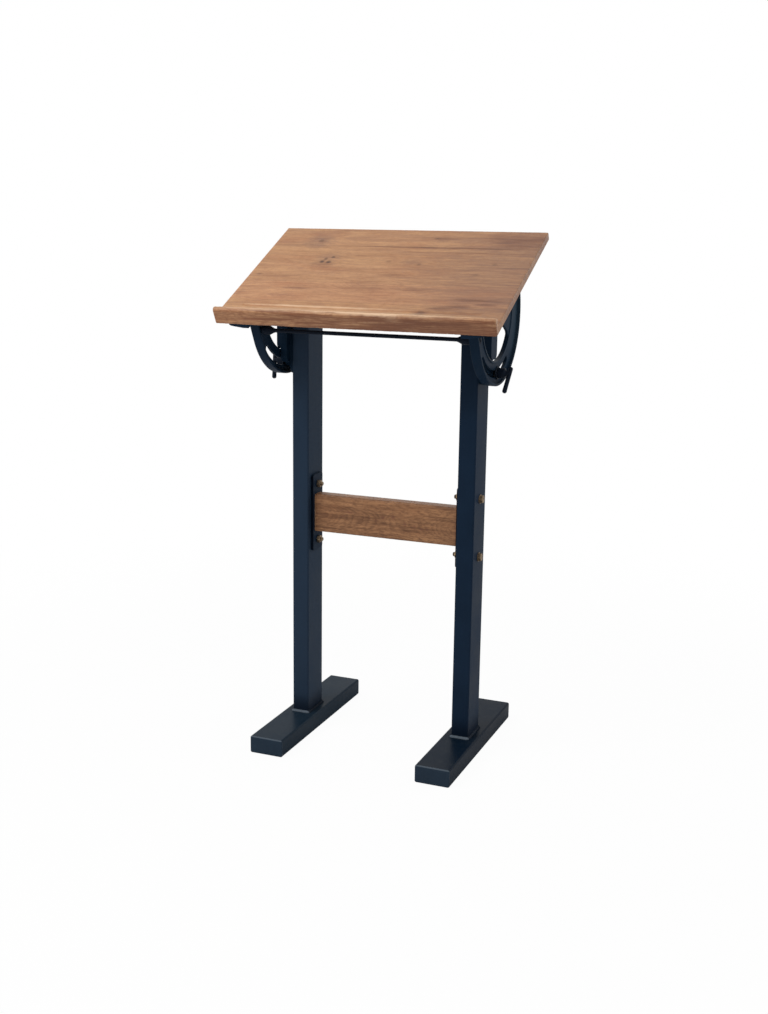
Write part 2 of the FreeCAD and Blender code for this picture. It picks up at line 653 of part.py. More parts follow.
body = turned("pivot_pins", ("pivot_at_y", "0", "pivot_at_z"), [
    ("post_outer", "0"), ("lug_face + side_gap + pin_head_thick", "0"),
    ("lug_face + side_gap + pin_head_thick", "pin_head_dia / 2 - bolt_bevel"),
    ("lug_face + side_gap + pin_head_thick - bolt_bevel", "pin_head_dia / 2"),
    ("lug_face + side_gap", "pin_head_dia / 2"), ("lug_face + side_gap", "pivot_dia / 2"),
    ("post_outer", "pivot_dia / 2")])
mirrored(body)

body = turned("bracket_bolts", ("bracket_bolt_y", "0", "bracket_bolt_low"), [
    ("bracket_face - bracket_bolt_len", "0"), ("bracket_face", "0"),
    ("bracket_face", "bolt_dia / 2"),
    ("bracket_face - bracket_bolt_len + bolt_bevel", "bolt_dia / 2"),
    ("bracket_face - bracket_bolt_len", "bolt_dia / 2 - bolt_bevel")])
head = new_sketch(body, "YZ_Plane", "bracket_face")
hexagon(head, ("bracket_bolt_y", "bracket_bolt_low"), "hex_corner")
pad(body, head, "hex_head")
repeated(body, "Z_Axis", "bracket_bolt_high - bracket_bolt_low")
mirrored(body)

body = turned("clamp_studs", ("clamp_at_y", "0", "clamp_z"), [
    ("post_outer", "0"), ("hub_face + hub_long - hub_skin - side_gap", "0"),
    ("hub_face + hub_long - hub_skin - side_gap", "clamp_dia / 2"), ("post_outer", "clamp_dia / 2")])
mirrored(body)

body = new_body("clamp_washers")
washer = new_sketch(body, "YZ_Plane", "washer_face")
circle(washer, CLAMP, "clamp_washer_dia")
circle(washer, CLAMP, "clamp_bore")
pad(body, washer, "clamp_washer_thick")
mirrored(body)

# Clamp levers, drawn about the stud with the bar upright.
BAR = [("0", "bar_up")] + dome("bar_up - bar_dia / 2", 1)[::-1][1:] + dome("bar_dia / 2 - bar_down", -1)

for name, side in SIDES:
    body = new_body("clamp_lever_" + name)
    disc(body, side, "hub_face", HUB, "hub_dia", "hub_long")
    disc(body, side, "hub_end", HUB, "neck_dia", "neck_long")
    turned(body, ("0", flip("bar_out", side), "0"), BAR, axis="V_Axis",
           lean="%d * Sizes.bar_lean * 1 deg" % -side)
    socket = new_sketch(body, "YZ_Plane", flip("hub_face", side))
    circle(socket, HUB, "clamp_bore")
    cut(body, socket, "hub_long - hub_skin", back=side > 0)
    tilted(body, CLAMP, "lever_swing", -1)

# Desk board and lip, drawn level about the pivot.
SCREW_ROW = 4

body = new_body("desk_board")
outline = new_sketch(body, "YZ_Plane", "-desk_wide / 2")
rectangle(outline, ("-board_front", "under_rise"), ("board_back", "desk_top"))
pad(body, outline, "desk_wide")
seam = -num("board_front") + NEAR
round_over(body, "desk_soften", lambda edge: not along(edge, 2) and edge.BoundBox.YMax > seam)
brow = num("desk_top") - NEAR
bevel(body, "seam_bevel", lambda edge: along(edge, 0) and edge.BoundBox.YMax < seam
      and edge.BoundBox.ZMin > brow)
groove = new_sketch(body, "XY_Plane", "desk_top")
rectangle(groove, ("-desk_wide / 2 + groove_stop", "-front_reach + groove_back_at - groove_wide"),
          ("desk_wide / 2 - groove_stop", "-front_reach + groove_back_at"))
cut(body, groove, "groove_deep")
floor_at = num("desk_top - groove_deep")
round_over(body, "groove_deep - bead_clear", lambda edge: edge.BoundBox.ZMin > floor_at - NEAR
           and edge.BoundBox.ZMax < floor_at + NEAR and edge.Curve.TypeId == "Part::GeomLine")
holes = new_sketch(body, "XY_Plane", "under_rise")
for side in (-1, 1):
    for row in range(SCREW_ROW):
        circle(holes, (flip("desk_screw_out", side),
                       "-desk_screw_first + %d * desk_screw_pitch" % row),
               "desk_screw_dia + bolt_clear")
cut(body, holes, "desk_screw_bite + side_gap", back=True)
tilted(body)

body = new_body("front_lip")
outline = new_sketch(body, "YZ_Plane", "-desk_wide / 2")
rectangle(outline, ("-front_reach", "under_rise"), ("-board_front", "desk_top + lip_rise"))
pad(body, outline, "desk_wide")
crest, front = num("desk_top + lip_rise"), -num("front_reach") + NEAR
round_over(body, "lip_end_round", lambda edge: along(edge, 2) and edge.BoundBox.YMax < front)
round_over(body, "lip_thick / 2 - bead_clear", lambda edge: along(edge, 0)
           and edge.BoundBox.ZMin > crest - NEAR)
tilted(body)

# Quadrant castings, drawn level about the pivot.
SCREWS_AT = ["-desk_screw_first + %d * desk_screw_pitch" % row for row in range(SCREW_ROW)]
WEB_FAN = [("web_back_%dy" % index, "-web_back_%dz" % index) for index in range(len(WEB_BACK))]

for name, side in SIDES:
    body = new_body("quadrant_" + name)
    outline = new_sketch(body, "YZ_Plane", flip("rim_near", side))
    u_outline(outline, "ring_radius", "ring_drop", "flange_low")
    pad(body, outline, "rim_inward + web_thick + rim_outward", back=side < 0)
    for near, deep, inward in (("rim_near", "rim_inward", False),
                               ("web_face + rim_outward", "rim_outward", True)):
        pan = new_sketch(body, "YZ_Plane", flip(near, side))
        u_outline(pan, "ring_radius - rim_thick", "ring_drop", "flange_low")
        cut(body, pan, deep, back=(side > 0) != inward)
    ring = num("ring_radius")
    round_over(body, "cast_round", lambda edge: edge.Curve.TypeId == "Part::GeomCircle"
               and abs(edge.Curve.Radius - ring) < NEAR)
    bead = new_sketch(body, "YZ_Plane", flip("bead_in", side))
    u_outline(bead, "gap_radius + bead_thick", "0", "gap_top + bead_thick")
    pad(body, bead, "web_thick + 2 * bead_proud", back=side < 0)
    gap = new_sketch(body, "YZ_Plane")
    u_outline(gap, "gap_radius", "0", "gap_top")
    cut(body, gap)
    roof = num("gap_top")
    round_over(body, "gap_round", lambda edge: along(edge, 0)
               and abs(edge.BoundBox.ZMin - roof) < NEAR)
    slab(body, side, "web_at", ("-lug_radius", "0"), ("lug_radius", "gap_top + bead_thick"),
         "web_thick")
    back = new_sketch(body, "YZ_Plane", flip("web_at", side))
    polygon(back, [HUB] + WEB_FAN + [("web_reach", "gap_top + bead_thick"),
                                     ("0", "gap_top + bead_thick")])
    pad(body, back, "web_thick", back=side < 0)
    disc(body, side, "web_at", HUB, "2 * lug_radius", "web_thick + lug_proud")
    slot = new_sketch(body, "YZ_Plane")
    ring_sector(slot)
    cut(body, slot)
    for end in (("slot_mid_ay", "-slot_mid_az"), ("-slot_mid_by", "-slot_mid_bz")):
        bore_through(body, [end], "slot_wide")
    bore_through(body, [HUB], "pivot_bore")
    bore_through(body, [("-rod_front", "rod_up")], "rod_thread + bolt_clear")
    flange = new_sketch(body, "XZ_Plane", "-flange_front")
    polygon(flange, [(flip(out, side), up) for out, up in (
        ("rim_near", "flange_low"), ("web_face", "flange_low"),
        ("flange_out", "under_rise - flange_edge"), ("flange_out", "under_rise"),
        ("rim_near", "under_rise"))])
    pad(body, flange, "flange_front + flange_back", back=True)
    edge_at = num("flange_out")
    round_over(body, "flange_round", lambda edge: along(edge, 2)
               and abs(max(abs(edge.BoundBox.XMin), abs(edge.BoundBox.XMax)) - edge_at) < NEAR)
    holes = new_sketch(body, "XY_Plane", "under_rise")
    for at in SCREWS_AT:
        circle(holes, (flip("desk_screw_out", side), at), "desk_screw_dia + bolt_clear")
    cut(body, holes, "flange_thick")
    seats = new_sketch(body, "XY_Plane", "screw_seat")
    for at in SCREWS_AT:
        circle(seats, (flip("desk_screw_out", side), at), "desk_screw_head + 2 * seam_bevel")
    cut(body, seats, "flange_thick")
    tilted(body)

body = turned("desk_screws", ("-desk_screw_first", "desk_screw_out", "0"), [
    ("0", "screw_seat - desk_screw_head_high"),
    ("desk_screw_head / 2 - bolt_bevel", "screw_seat - desk_screw_head_high"),
    ("desk_screw_head / 2", "screw_seat - desk_screw_head_high + bolt_bevel"),
    ("desk_screw_head / 2", "screw_seat"), ("desk_screw_dia / 2", "screw_seat"),
    ("desk_screw_dia / 2", "under_rise + desk_screw_bite - desk_screw_dia / 2"),
    ("0", "under_rise + desk_screw_bite")], axis="V_Axis")
repeated(body, "Y_Axis", "desk_screw_pitch", SCREW_ROW)
mirrored(body)
tilted(body)

# Tie rod between the quadrants.
half = [("web_face + rod_nut_high + rod_tail", "0"),
        ("web_face + rod_nut_high + rod_tail", "rod_thread / 2"),
        ("web_at", "rod_thread / 2"), ("web_at", "rod_neck_dia / 2"),
        ("rod_boss_end", "rod_neck_dia / 2"), ("rod_boss_end", "rod_boss_dia / 2"),
        ("rod_cone_to", "rod_boss_dia / 2"), ("rod_cone_from", "rod_dia / 2")]
body = turned("tie_rod", ("rod_up", "0", "-rod_front"),
              half + [(negate(at), out) for at, out in reversed(half)], plane="XY_Plane")
tilted(body)

body = new_body("tie_rod_nuts")
nut = new_sketch(body, "YZ_Plane", "web_face")
hexagon(nut, ("-rod_front", "rod_up"), "rod_nut_corner")
circle(nut, ("-rod_front", "rod_up"), "rod_thread + bolt_clear")
pad(body, nut, "rod_nut_high")
mirrored(body)
tilted(body)

# Check and write.
doc.recompute()
bodies = [item for item in doc.Objects if item.TypeId == "PartDesign::Body"]
for item in doc.Objects:
    if "Invalid" in item.State or "Error" in item.State:
        raise RuntimeError("%s is %s" % (item.Label, item.State))
os.makedirs("parts", exist_ok=True)
for body in bodies:
    shape = body.Shape
    if not shape.isValid() or not shape.Solids:
        raise RuntimeError("bad shape in " + body.Label)
    shape.exportStep("parts/%s.step" % body.Label)
    box = shape.BoundBox
    print("%-24s %2d solids %10.0f mm3  x %7.1f %7.1f  y %7.1f %7.1f  z %7.1f %7.1f" % (
        body.Label, len(shape.Solids), shape.Volume, box.XMin, box.XMax, box.YMin, box.YMax,
        box.ZMin, box.ZMax))
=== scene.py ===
import bpy
import numpy as np
from mathutils import Matrix, Vector


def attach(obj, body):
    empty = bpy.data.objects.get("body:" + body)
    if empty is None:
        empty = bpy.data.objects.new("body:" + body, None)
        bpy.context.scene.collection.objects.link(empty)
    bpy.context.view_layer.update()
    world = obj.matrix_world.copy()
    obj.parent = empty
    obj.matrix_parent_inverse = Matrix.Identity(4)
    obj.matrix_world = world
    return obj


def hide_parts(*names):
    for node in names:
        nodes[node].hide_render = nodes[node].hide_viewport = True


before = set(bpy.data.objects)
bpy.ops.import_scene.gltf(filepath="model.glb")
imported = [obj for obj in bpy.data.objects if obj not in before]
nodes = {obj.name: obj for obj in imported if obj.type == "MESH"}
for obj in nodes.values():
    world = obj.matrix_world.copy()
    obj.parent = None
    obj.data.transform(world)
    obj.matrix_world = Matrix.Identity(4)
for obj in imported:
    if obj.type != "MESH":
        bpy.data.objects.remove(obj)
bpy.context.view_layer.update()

mm = 0.001
print("stage: frame loaded,", len(nodes), "parts")

# The tilting top is drawn level: x across, a up the slope from the pivot, b square to the board.
deskFrame = {"pivotY": -0.0195, "pivotZ": 1.0009, "tilt": np.radians(26.87)}


def tilted(x, a, b):
    # turns (a, b) by the tilt: y = a cos - b sin and z = a sin + b cos, counted from the pivot
    x, a, b = np.broadcast_arrays(x, a, b)
    sin, cos = np.sin(deskFrame["tilt"]), np.cos(deskFrame["tilt"])
    y = deskFrame["pivotY"] + a * cos - b * sin
    z = deskFrame["pivotZ"] + a * sin + b * cos
    return np.stack([x, y, z], -1)


# Surfaces. Each is a grid of points worked out as whole arrays, in millimetres up to its last step.

def sweptFaces(rings, closedPath=False):
    # rings[i, j] is point j round section i; neighbours make quads, and open ends close on their middle.
    # The corners' triple products add up to six times the volume, and below zero the faces are turned over.
    count, around = rings.shape[:2]
    points = rings.reshape(-1, 3)
    steps = count if closedPath else count - 1
    i, j = np.meshgrid(np.arange(steps), np.arange(around), indexing="ij")
    nextI, nextJ = (i + 1) % count, (j + 1) % around
    quads = np.stack([i * around + j, nextI * around + j, nextI * around + nextJ, i * around + nextJ], -1)
    quads = quads.reshape(-1, 4)
    fans = np.zeros((0, 3), int)
    if not closedPath:
        ends = np.stack([rings[0].mean(0), rings[-1].mean(0)])
        points = np.concatenate([points, ends])
        here = np.arange(around)
        there = (here + 1) % around
        last = (count - 1) * around
        first = np.stack([np.full(around, len(points) - 2), here, there], -1)
        final = np.stack([np.full(around, len(points) - 1), last + there, last + here], -1)
        fans = np.concatenate([first, final])
    triangles = np.concatenate([quads[:, [0, 1, 2]], quads[:, [0, 2, 3]], fans])
    corner = points[triangles]
    volume = np.einsum("ij,ij->i", corner[:, 0], np.cross(corner[:, 1], corner[:, 2])).sum()
    if volume < 0:
        quads, fans = quads[:, ::-1], fans[:, ::-1]
    return points, quads, fans


def leaned(shape):
    # lays a shape drawn level about the pivot onto the desk's tilt
    points, quads, fans = shape
    return tilted(*points.T), quads, fans


def makePiece(name, shapes, body, material, replaced, sharp):
    # joins swept shapes into one mesh that rides on a body; shading breaks where faces meet past sharp
    points, faces, start = [], [], 0
    for shapePoints, quads, fans in shapes:
        points.append(shapePoints)
        faces += (quads + start).tolist() + (fans + start).tolist()
        start += len(shapePoints)
    mesh = bpy.data.meshes.new(name)
    mesh.from_pydata(np.concatenate(points).tolist(), [], faces)
    mesh.polygons.foreach_set("use_smooth", np.ones(len(faces), bool))
    mesh.set_sharp_from_angle(angle=np.radians(sharp))
    mesh.materials.append(material)
    piece = bpy.data.objects.new(name, mesh)
    bpy.context.scene.collection.objects.link(piece)
    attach(piece, body)
    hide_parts(replaced)


def lathe(along, radius, centre, side, around=48):
    # circles round a line across the desk: x = side * along, y and z = centre + radius * cosine and sine
    angle = np.arange(around) * 2 * np.pi / around
    radius = np.broadcast_to(np.reshape(radius, (len(along), -1)), (len(along), around))
    x = np.broadcast_to(side * np.reshape(along, (-1, 1)), radius.shape)
    rings = np.stack([x, centre[0] + radius * np.cos(angle), centre[1] + radius * np.sin(angle)], -1)
    return sweptFaces(rings * mm)


def lathed(profile, centre, side=1):
    # a turned solid from (along, radius) pairs
    along, radius = np.array(profile, float).T
    return lathe(along, radius, centre, side)


cornerSteps = 7


def roundedRectangle(halfA, halfB, radius):
    # quarter circles on a rectangle's corners, joined by its straight sides
    angle = np.radians(np.linspace(180, 270, cornerSteps)) + np.pi / 2 * np.arange(4)[:, None]
    corner = np.array([[-1, -1], [1, -1], [1, 1], [-1, 1]]) * [halfA - radius, halfB - radius]
    return (corner[:, None] + radius * np.stack([np.cos(angle), np.sin(angle)], -1)).reshape(-1, 2)


def endPlaces(half, radius, steps):
    # where sections stand along a quarter circle that ends at half: closer together towards the end
    return half - radius * (1 - np.sin(np.radians(np.linspace(0, 90, steps))))


def endInset(x, half, radius):
    # how far that quarter circle has drawn in: radius - sqrt(radius^2 - (length past its start)^2)
    past = np.maximum(np.abs(x) - (half - radius), 0)
    return radius - np.sqrt(np.maximum(radius ** 2 - past ** 2, 0))


def mirrored(x):
    # the same places on both sides of the middle
    return np.concatenate([-x[:0:-1], x])


def wave(position, seed, lengths, size):
    # smooth unevenness along a line: the mean of a few sine waves with seeded phases, times size
    phases = np.random.default_rng(seed).uniform(0, 2 * np.pi, len(lengths))
    waves = [np.sin(2 * np.pi * position / length + phase) for length, phase in zip(lengths, phases)]
    return size * np.sum(waves, 0) / len(lengths)


# Materials. A Recipe holds one material's node tree and short calls for its steps.

def feed(tree, socket, value):
    # links a socket to another one, or gives it a plain value
    if isinstance(value, bpy.types.NodeSocket):
        tree.links.new(value, socket)
    else:
        socket.default_value = value


def addNode(tree, kind, inputs=(), **settings):
    # a node with its settings, and its inputs by name or number
    node = tree.nodes.new(kind)
    for key, value in settings.items():
        setattr(node, key, value)
    for key, value in dict(inputs).items():
        feed(tree, node.inputs[key], value)
    return node


class Recipe:
    def __init__(self, name, specular, metallic=0.0):
        self.material = bpy.data.materials.new(name)
        self.material.use_nodes = True
        self.tree = self.material.node_tree
        self.shader = self.tree.nodes["Principled BSDF"].inputs
        self.shader["Specular IOR Level"].default_value = specular
        self.shader["Metallic"].default_value = metallic
        self.place = self.add("ShaderNodeTexCoord").outputs["Object"]

    def add(self, kind, inputs=(), **settings):
        return addNode(self.tree, kind, inputs, **settings)

    def math(self, operation, *values, clamp=False):
        inputs = dict(enumerate(values))
        return self.add("ShaderNodeMath", inputs, operation=operation, use_clamp=clamp).outputs[0]

    def times(self, first, second):
        return self.math("MULTIPLY", first, second)

    def plus(self, first, second):
        return self.math("ADD", first, second)

    def minus(self, first, second):
        return self.math("SUBTRACT", first, second)

    def stretch(self, vector, scale, turn=(0, 0, 0), shift=(0, 0, 0)):
        inputs = {"Vector": vector, "Location": shift, "Rotation": turn, "Scale": scale}
        return self.add("ShaderNodeMapping", inputs).outputs[0]

    def noise(self, scale, detail, rough, warp=0.0, at=None):
        inputs = {"Vector": at or self.place, "Scale": scale, "Detail": detail, "Roughness": rough,
                  "Distortion": warp}
        return self.add("ShaderNodeTexNoise", inputs).outputs["Fac"]

    def band(self, value, low, high, toLow=0.0, toHigh=1.0):
        # toLow up to low, toHigh from high on, and a smooth step between
        inputs = {"Value": value, "From Min": low, "From Max": high, "To Min": toLow, "To Max": toHigh}
        return self.add("ShaderNodeMapRange", inputs, interpolation_type="SMOOTHSTEP").outputs[0]

    def blend(self, share, first, second):
        # from the first colour to the second; inputs 6 and 7 are the node's two colours
        inputs = {"Factor": share}
        for key, value in ((6, first), (7, second)):
            inputs[key] = value if isinstance(value, bpy.types.NodeSocket) else (*value, 1.0)
        return self.add("ShaderNodeMix", inputs, data_type="RGBA", clamp_factor=True).outputs[2]

    def split(self, vector):
        return self.add("ShaderNodeSeparateXYZ", {0: vector}).outputs

    def softNormal(self, width):
        # the normal, rounded off near corners
        return self.add("ShaderNodeBevel", {"Radius": width}, samples=6).outputs[0]

    def edges(self, width):
        # 1 on corners that hands and cloths reach, 0 on flats: how far a rounded normal leaves the true one
        true = self.add("ShaderNodeNewGeometry").outputs["True Normal"]
        dot = self.add("ShaderNodeVectorMath", {0: self.softNormal(width), 1: true}, operation="DOT_PRODUCT")
        return self.band(self.minus(1.0, dot.outputs["Value"]), 0.004, 0.12)

    def finish(self, color, roughness, height, relief, soft):
        # colour, roughness, and a bump of a relief's depth over a normal that is rounded off at corners
        inputs = {"Strength": 1.0, "Distance": relief, "Height": height, "Normal": self.softNormal(soft)}
        bump = self.add("ShaderNodeBump", inputs)
        for key, value in (("Base Color", color), ("Roughness", roughness), ("Normal", bump.outputs[0])):
            feed(self.tree, self.shader[key], value)
        return self.material


def linear(red, green, blue):
    # screen colour to scene light: value / 12.92 in the dark, ((value + 0.055) / 1.055) ^ 2.4 above it
    part = np.array([red, green, blue]) / 255
    return tuple(np.where(part <= 0.04045, part / 12.92, ((part + 0.055) / 1.055) ** 2.4).tolist())


paintLook = {
    "patches": 9.0, "specks": 420.0, "chipping": 38.0, "dusting": 60.0, "casting": 130.0,  # noise scales
    # fadeFrom and fadeTo: where the painted light towards -x begins and where it is full
    "lighter": 1.25, "cornerWide": 0.0015, "fadeFrom": 0.24, "fadeTo": -0.24,
    "dust": (0.074, 0.088, 0.09), "smooth": 0.4, "dull": 0.52,
}


def paintedSteel(name, color, worn, peel=0.00006, grainy=0.0, soft=0.0008, specular=0.045, paintedLeftLight=0.0,
                 chips=0.75, gloss=0.0, paintedLightZone=None, dusty=0.25):
    # Satin paint with lighter patches, painted light that makes the parts towards -x lighter, rubbed corners
    # and dust on what faces up. A painted-light zone is a share of another colour that grows along one axis
    # between two places, for painted shade or a painted highlight.
    recipe, look = Recipe(name, specular), paintLook
    patches = recipe.noise(look["patches"], 3.0, 0.6)
    specks = recipe.noise(look["specks"], 2.0, 0.5)
    tone = recipe.blend(recipe.band(patches, 0.3, 0.7), color, [part * look["lighter"] for part in color])
    # painted light: towards -x the tone turns to the worn colour, as if more light fell on that side
    if paintedLeftLight:
        share = recipe.band(recipe.split(recipe.place)[0], look["fadeFrom"], look["fadeTo"], 0.0, paintedLeftLight)
        tone = recipe.blend(share, tone, worn)
    spots = recipe.band(recipe.noise(look["chipping"], 4.0, 0.65), 0.42, 0.62)
    chipped = recipe.times(recipe.edges(look["cornerWide"]), spots)
    tone = recipe.blend(recipe.times(chipped, chips), tone, worn)
    # painted shade or a painted highlight, growing along one axis
    if paintedLightZone:
        axis, start, end, amount, other = paintedLightZone
        share = recipe.band(recipe.split(recipe.place)[axis], start, end, 0.0, amount)
        tone = recipe.blend(share, tone, other)
    up = recipe.split(recipe.add("ShaderNodeNewGeometry").outputs["Normal"])[2]
    settled = recipe.band(recipe.noise(look["dusting"], 5.0, 0.7), 0.45, 0.8, 0.0, dusty)
    tone = recipe.blend(recipe.times(recipe.band(up, 0.6, 1.0), settled), tone, look["dust"])
    rough = recipe.band(patches, 0.25, 0.75, look["smooth"] - gloss, look["dull"] - gloss)
    cast = recipe.times(recipe.noise(look["casting"], 3.0, 0.6), grainy)
    return recipe.finish(tone, rough, recipe.plus(specks, cast), peel, soft)


platingLook = {"drift": 160.0, "grime": 420.0, "marks": 900.0, "grimeShade": 0.35, "roughness": 0.4,
               "roughSpread": 0.15, "relief": 0.00004, "soft": 0.0004}


def platedSteel(name, color, tint):
    # dull plating: two tints that drift into each other, grime in spots, and fine turning marks
    recipe, look = Recipe(name, 0.5, 1.0), platingLook
    drift = recipe.noise(look["drift"], 3.0, 0.6, 0.4)
    tone = recipe.blend(recipe.band(drift, 0.35, 0.65), color, tint)
    grime = recipe.band(recipe.noise(look["grime"], 4.0, 0.7), 0.5, 0.75, 0.0, 0.5)
    tone = recipe.blend(grime, tone, [part * look["grimeShade"] for part in color])
    rough = recipe.band(drift, 0.3, 0.7, look["roughness"], look["roughness"] + look["roughSpread"])
    marks = recipe.noise(look["marks"], 3.0, 0.5)
    return recipe.finish(tone, rough, marks, look["relief"], look["soft"])


plasticLook = {"grain": 700.0, "lighter": 1.4, "roughness": 0.55, "relief": 0.00006, "soft": 0.0008}


def matteBlack(name, color):
    # moulded plastic: fine leather-like grain
    recipe, look = Recipe(name, 0.35), plasticLook
    grain = recipe.noise(look["grain"], 2.0, 0.5)
    tone = recipe.blend(recipe.band(grain, 0.3, 0.7), color, [part * look["lighter"] for part in color])
    return recipe.finish(tone, look["roughness"], grain, look["relief"], look["soft"])


woodGrain = {  # name: changes in a metre along the grain and across it, detail, roughness, warp
    "flow": (1.6, 9, 2.0, 0.5, 0.0), "ragged": (26, 90, 4.0, 0.65, 0.0), "wobble": (5, 40, 3.0, 0.6, 0.0),
    "fibre": (28, 1100, 3.0, 0.6, 0.0), "hair": (14, 420, 3.0, 0.6, 0.0), "streak": (6.2, 50, 4.0, 0.62, 0.5),
    "mottle": (75, 170, 3.0, 0.6, 0.0), "fine": (9, 210, 3.0, 0.6, 0.2), "blotch": (6, 20, 4.0, 0.65, 0.0),
    "pore": (110, 2200, 1.0, 0.4, 0.0),
}
grainStart = {"fine": (4.7, 0.3, 2.2), "blotch": (3.1, 1.7, 0.4)}
woodBase = {
    "heartSpread": 0.04, "planksApart": 7.3, "ringWobble": 1.3, "lateEnd": 0.88, "fibreShade": 0.16,
    "poreShade": 0.35, "hues": (0.498, 0.502), "values": (0.97, 1.03), "lineWobble": 0.008,
    "seamWide": (0.00012, 0.0004), "seamShade": 0.55, "edgeWide": 0.002, "glossDrop": 0.08,
    "relief": 0.00012, "soft": 0.0006,
}


class Timber(Recipe):
    # one wood: a recipe with its look, and places along the grain (x), across it (a) and into it (b)
    def __init__(self, name, look, turn, shift):
        super().__init__(name, look["gloss"])
        self.look = look
        self.local = self.stretch(self.place, (1, 1, 1), (turn, 0, 0), shift)
        self.x, self.a, self.b = self.split(self.local)
        self.ragged = self.minus(self.grain("ragged"), 0.5)
        self.streak, self.fine, self.fibre = map(self.grain, ("streak", "fine", "fibre"))
        self.pore = self.band(self.grain("pore"), 0.62, 0.7)

    def grain(self, name):
        along, across, detail, rough, warp = woodGrain[name]
        place = self.stretch(self.local, (along, across, across), shift=grainStart.get(name, (0, 0, 0)))
        return self.noise(1.0, detail, rough, warp, place)

    def reach(self, place, size, rough=1.0):
        # distance from a mark's middle, counted in its own half sizes, with a ragged outline
        shift = (-place[0] / size[0], -place[1] / size[1], 0)
        near = self.stretch(self.local, (1 / size[0], 1 / size[1], 0), shift=shift)
        far = self.add("ShaderNodeVectorMath", {0: near}, operation="LENGTH").outputs["Value"]
        return self.plus(far, self.times(self.ragged, rough))

    def planks(self):
        # plank number and middle, both stepped up at each seam, and three chances that go with the number
        seams = self.look["seams"]
        bounds = [self.look["low"], *seams, self.look["high"]]
        middles = [(low + high) / 2 for low, high in zip(bounds, bounds[1:])]
        index, middle = self.look["seed"], middles[0]
        for seam, before, after in zip(seams, middles, middles[1:]):
            step = self.math("GREATER_THAN", self.a, seam)
            index = self.plus(index, step)
            middle = self.plus(middle, self.times(step, after - before))
        dice = self.add("ShaderNodeTexWhiteNoise", {"W": index}, noise_dimensions="1D")
        return index, middle, self.add("ShaderNodeSeparateColor", {0: dice.outputs["Color"]}).outputs

    def rings(self, index, middle, side, depth, lean):
        # Rings are cylinders round a heart line: a ring's number is the distance from it over the ring width.
        # The line lies near the face, slopes, and swings nearer and further along the plank. One that slopes
        # to both sides of archAt draws arches that point there. Swirls add rings in a bell curve.
        look, run = self.look, self.x
        if look["archSoft"]:
            run = self.minus(run, look["archAt"])
            run = self.math("SQRT", self.plus(self.times(run, run), look["archSoft"] ** 2))
        slope = self.band(lean, 0.0, 1.0, *look["slope"])
        along = {0: self.times(self.x, look["swingOften"]), 1: self.times(index, woodBase["planksApart"])}
        swing = self.noise(1.0, 1.0, 0.5, at=self.add("ShaderNodeCombineXYZ", along).outputs[0])
        heartB = self.minus(self.band(depth, 0.0, 1.0, *look["heartAt"]), self.times(slope, run))
        heartB = self.plus(heartB, self.times(self.minus(swing, 0.5), look["swing"]))
        heartA = self.plus(middle, self.times(self.minus(side, 0.5), woodBase["heartSpread"]))
        bend = self.times(self.minus(self.grain("flow"), 0.5), look["waviness"])
        offA, offB = self.minus(self.plus(self.a, bend), heartA), self.minus(self.b, heartB)
        outward = self.math("SQRT", self.plus(self.times(offA, offA), self.times(offB, offB)))
        number = self.math("DIVIDE", outward, look["ring"])
        number = self.plus(number, self.times(self.grain("wobble"), woodBase["ringWobble"]))
        for swirlX, swirlA, long, wide, turns in look["swirls"]:
            away = self.reach((swirlX, swirlA), (long, wide), 0.15)
            bell = self.math("EXPONENT", self.times(self.times(away, away), -1.0))
            number = self.plus(number, self.times(bell, turns))
        ring = self.math("FRACT", self.plus(number, self.times(self.grain("hair"), look["feather"])))
        # darker towards the end of each ring, and pale again at once
        late = self.band(ring, woodBase["lateEnd"], 1.0, 1.0, 0.0)
        return self.times(self.math("POWER", ring, look["thin"]), late)

    def figure(self, late, side, depth):
        # rings, streaks and fine lines add up to a share of dark; blotches, mottling, fibres, pores follow
        look = self.look
        share = self.times(late, look["contrast"])
        share = self.plus(share, self.band(self.streak, 0.34, 0.72, 0.0, look["streaks"]))
        share = self.math("ADD", share, self.band(self.fine, 0.35, 0.75, 0.0, look["fine"]), clamp=True)
        tone = self.blend(share, look["pale"], look["dark"])
        blotch, mottle = self.grain("blotch"), self.grain("mottle")
        tone = self.blend(self.band(blotch, 0.42, 0.72, 0.0, look["blotches"]), tone, look["red"])
        tone = self.blend(self.band(mottle, 0.4, 0.72, 0.0, look["mottled"]), tone, look["dark"])
        tone = self.blend(self.band(self.fibre, 0.3, 0.7, 0.0, woodBase["fibreShade"]), tone, look["dark"])
        tone = self.blend(self.times(self.pore, woodBase["poreShade"]), tone, look["heart"])
        hue = self.band(side, 0.0, 1.0, *woodBase["hues"])
        value = self.band(depth, 0.0, 1.0, *woodBase["values"])
        return self.add("ShaderNodeHueSaturation", {"Color": tone, "Hue": hue, "Value": value}).outputs[0]

    def marked(self, tone):
        # stains, rubbed places, knots, painted shade and painted highlights,
        # each broken up by the streaks that it lies in
        look = self.look
        streaky = self.plus(self.streak, self.times(self.fine, 0.6))
        texture = self.band(streaky, 0.62, 0.98, 0.55, 1.0)
        if look["crest"]:
            # painted shade on a strip's face, broken up by streaks like a stain, up to an uneven line under
            # its crest
            line = self.plus(self.b, self.times(self.ragged, woodBase["lineWobble"]))
            low, high, strength = look["crest"]
            below = self.band(line, low, high, strength, 0.0)
            faceShade = self.times(below, self.band(self.streak, 0.3, 0.6, 0.7, 1.0))
            tone = self.blend(faceShade, tone, look["stainAndShade"])
        for color, places in look["marks"].items():
            share = 0.0
            for markX, markA, long, wide, strength in places:
                away = self.reach((markX, markA), (long, wide))
                share = self.math("MAXIMUM", share, self.band(away, 0.2, 1.2, strength, 0.0))
            tone = self.blend(self.times(share, texture), tone, look[color])
        return tone

    def seamed(self, tone):
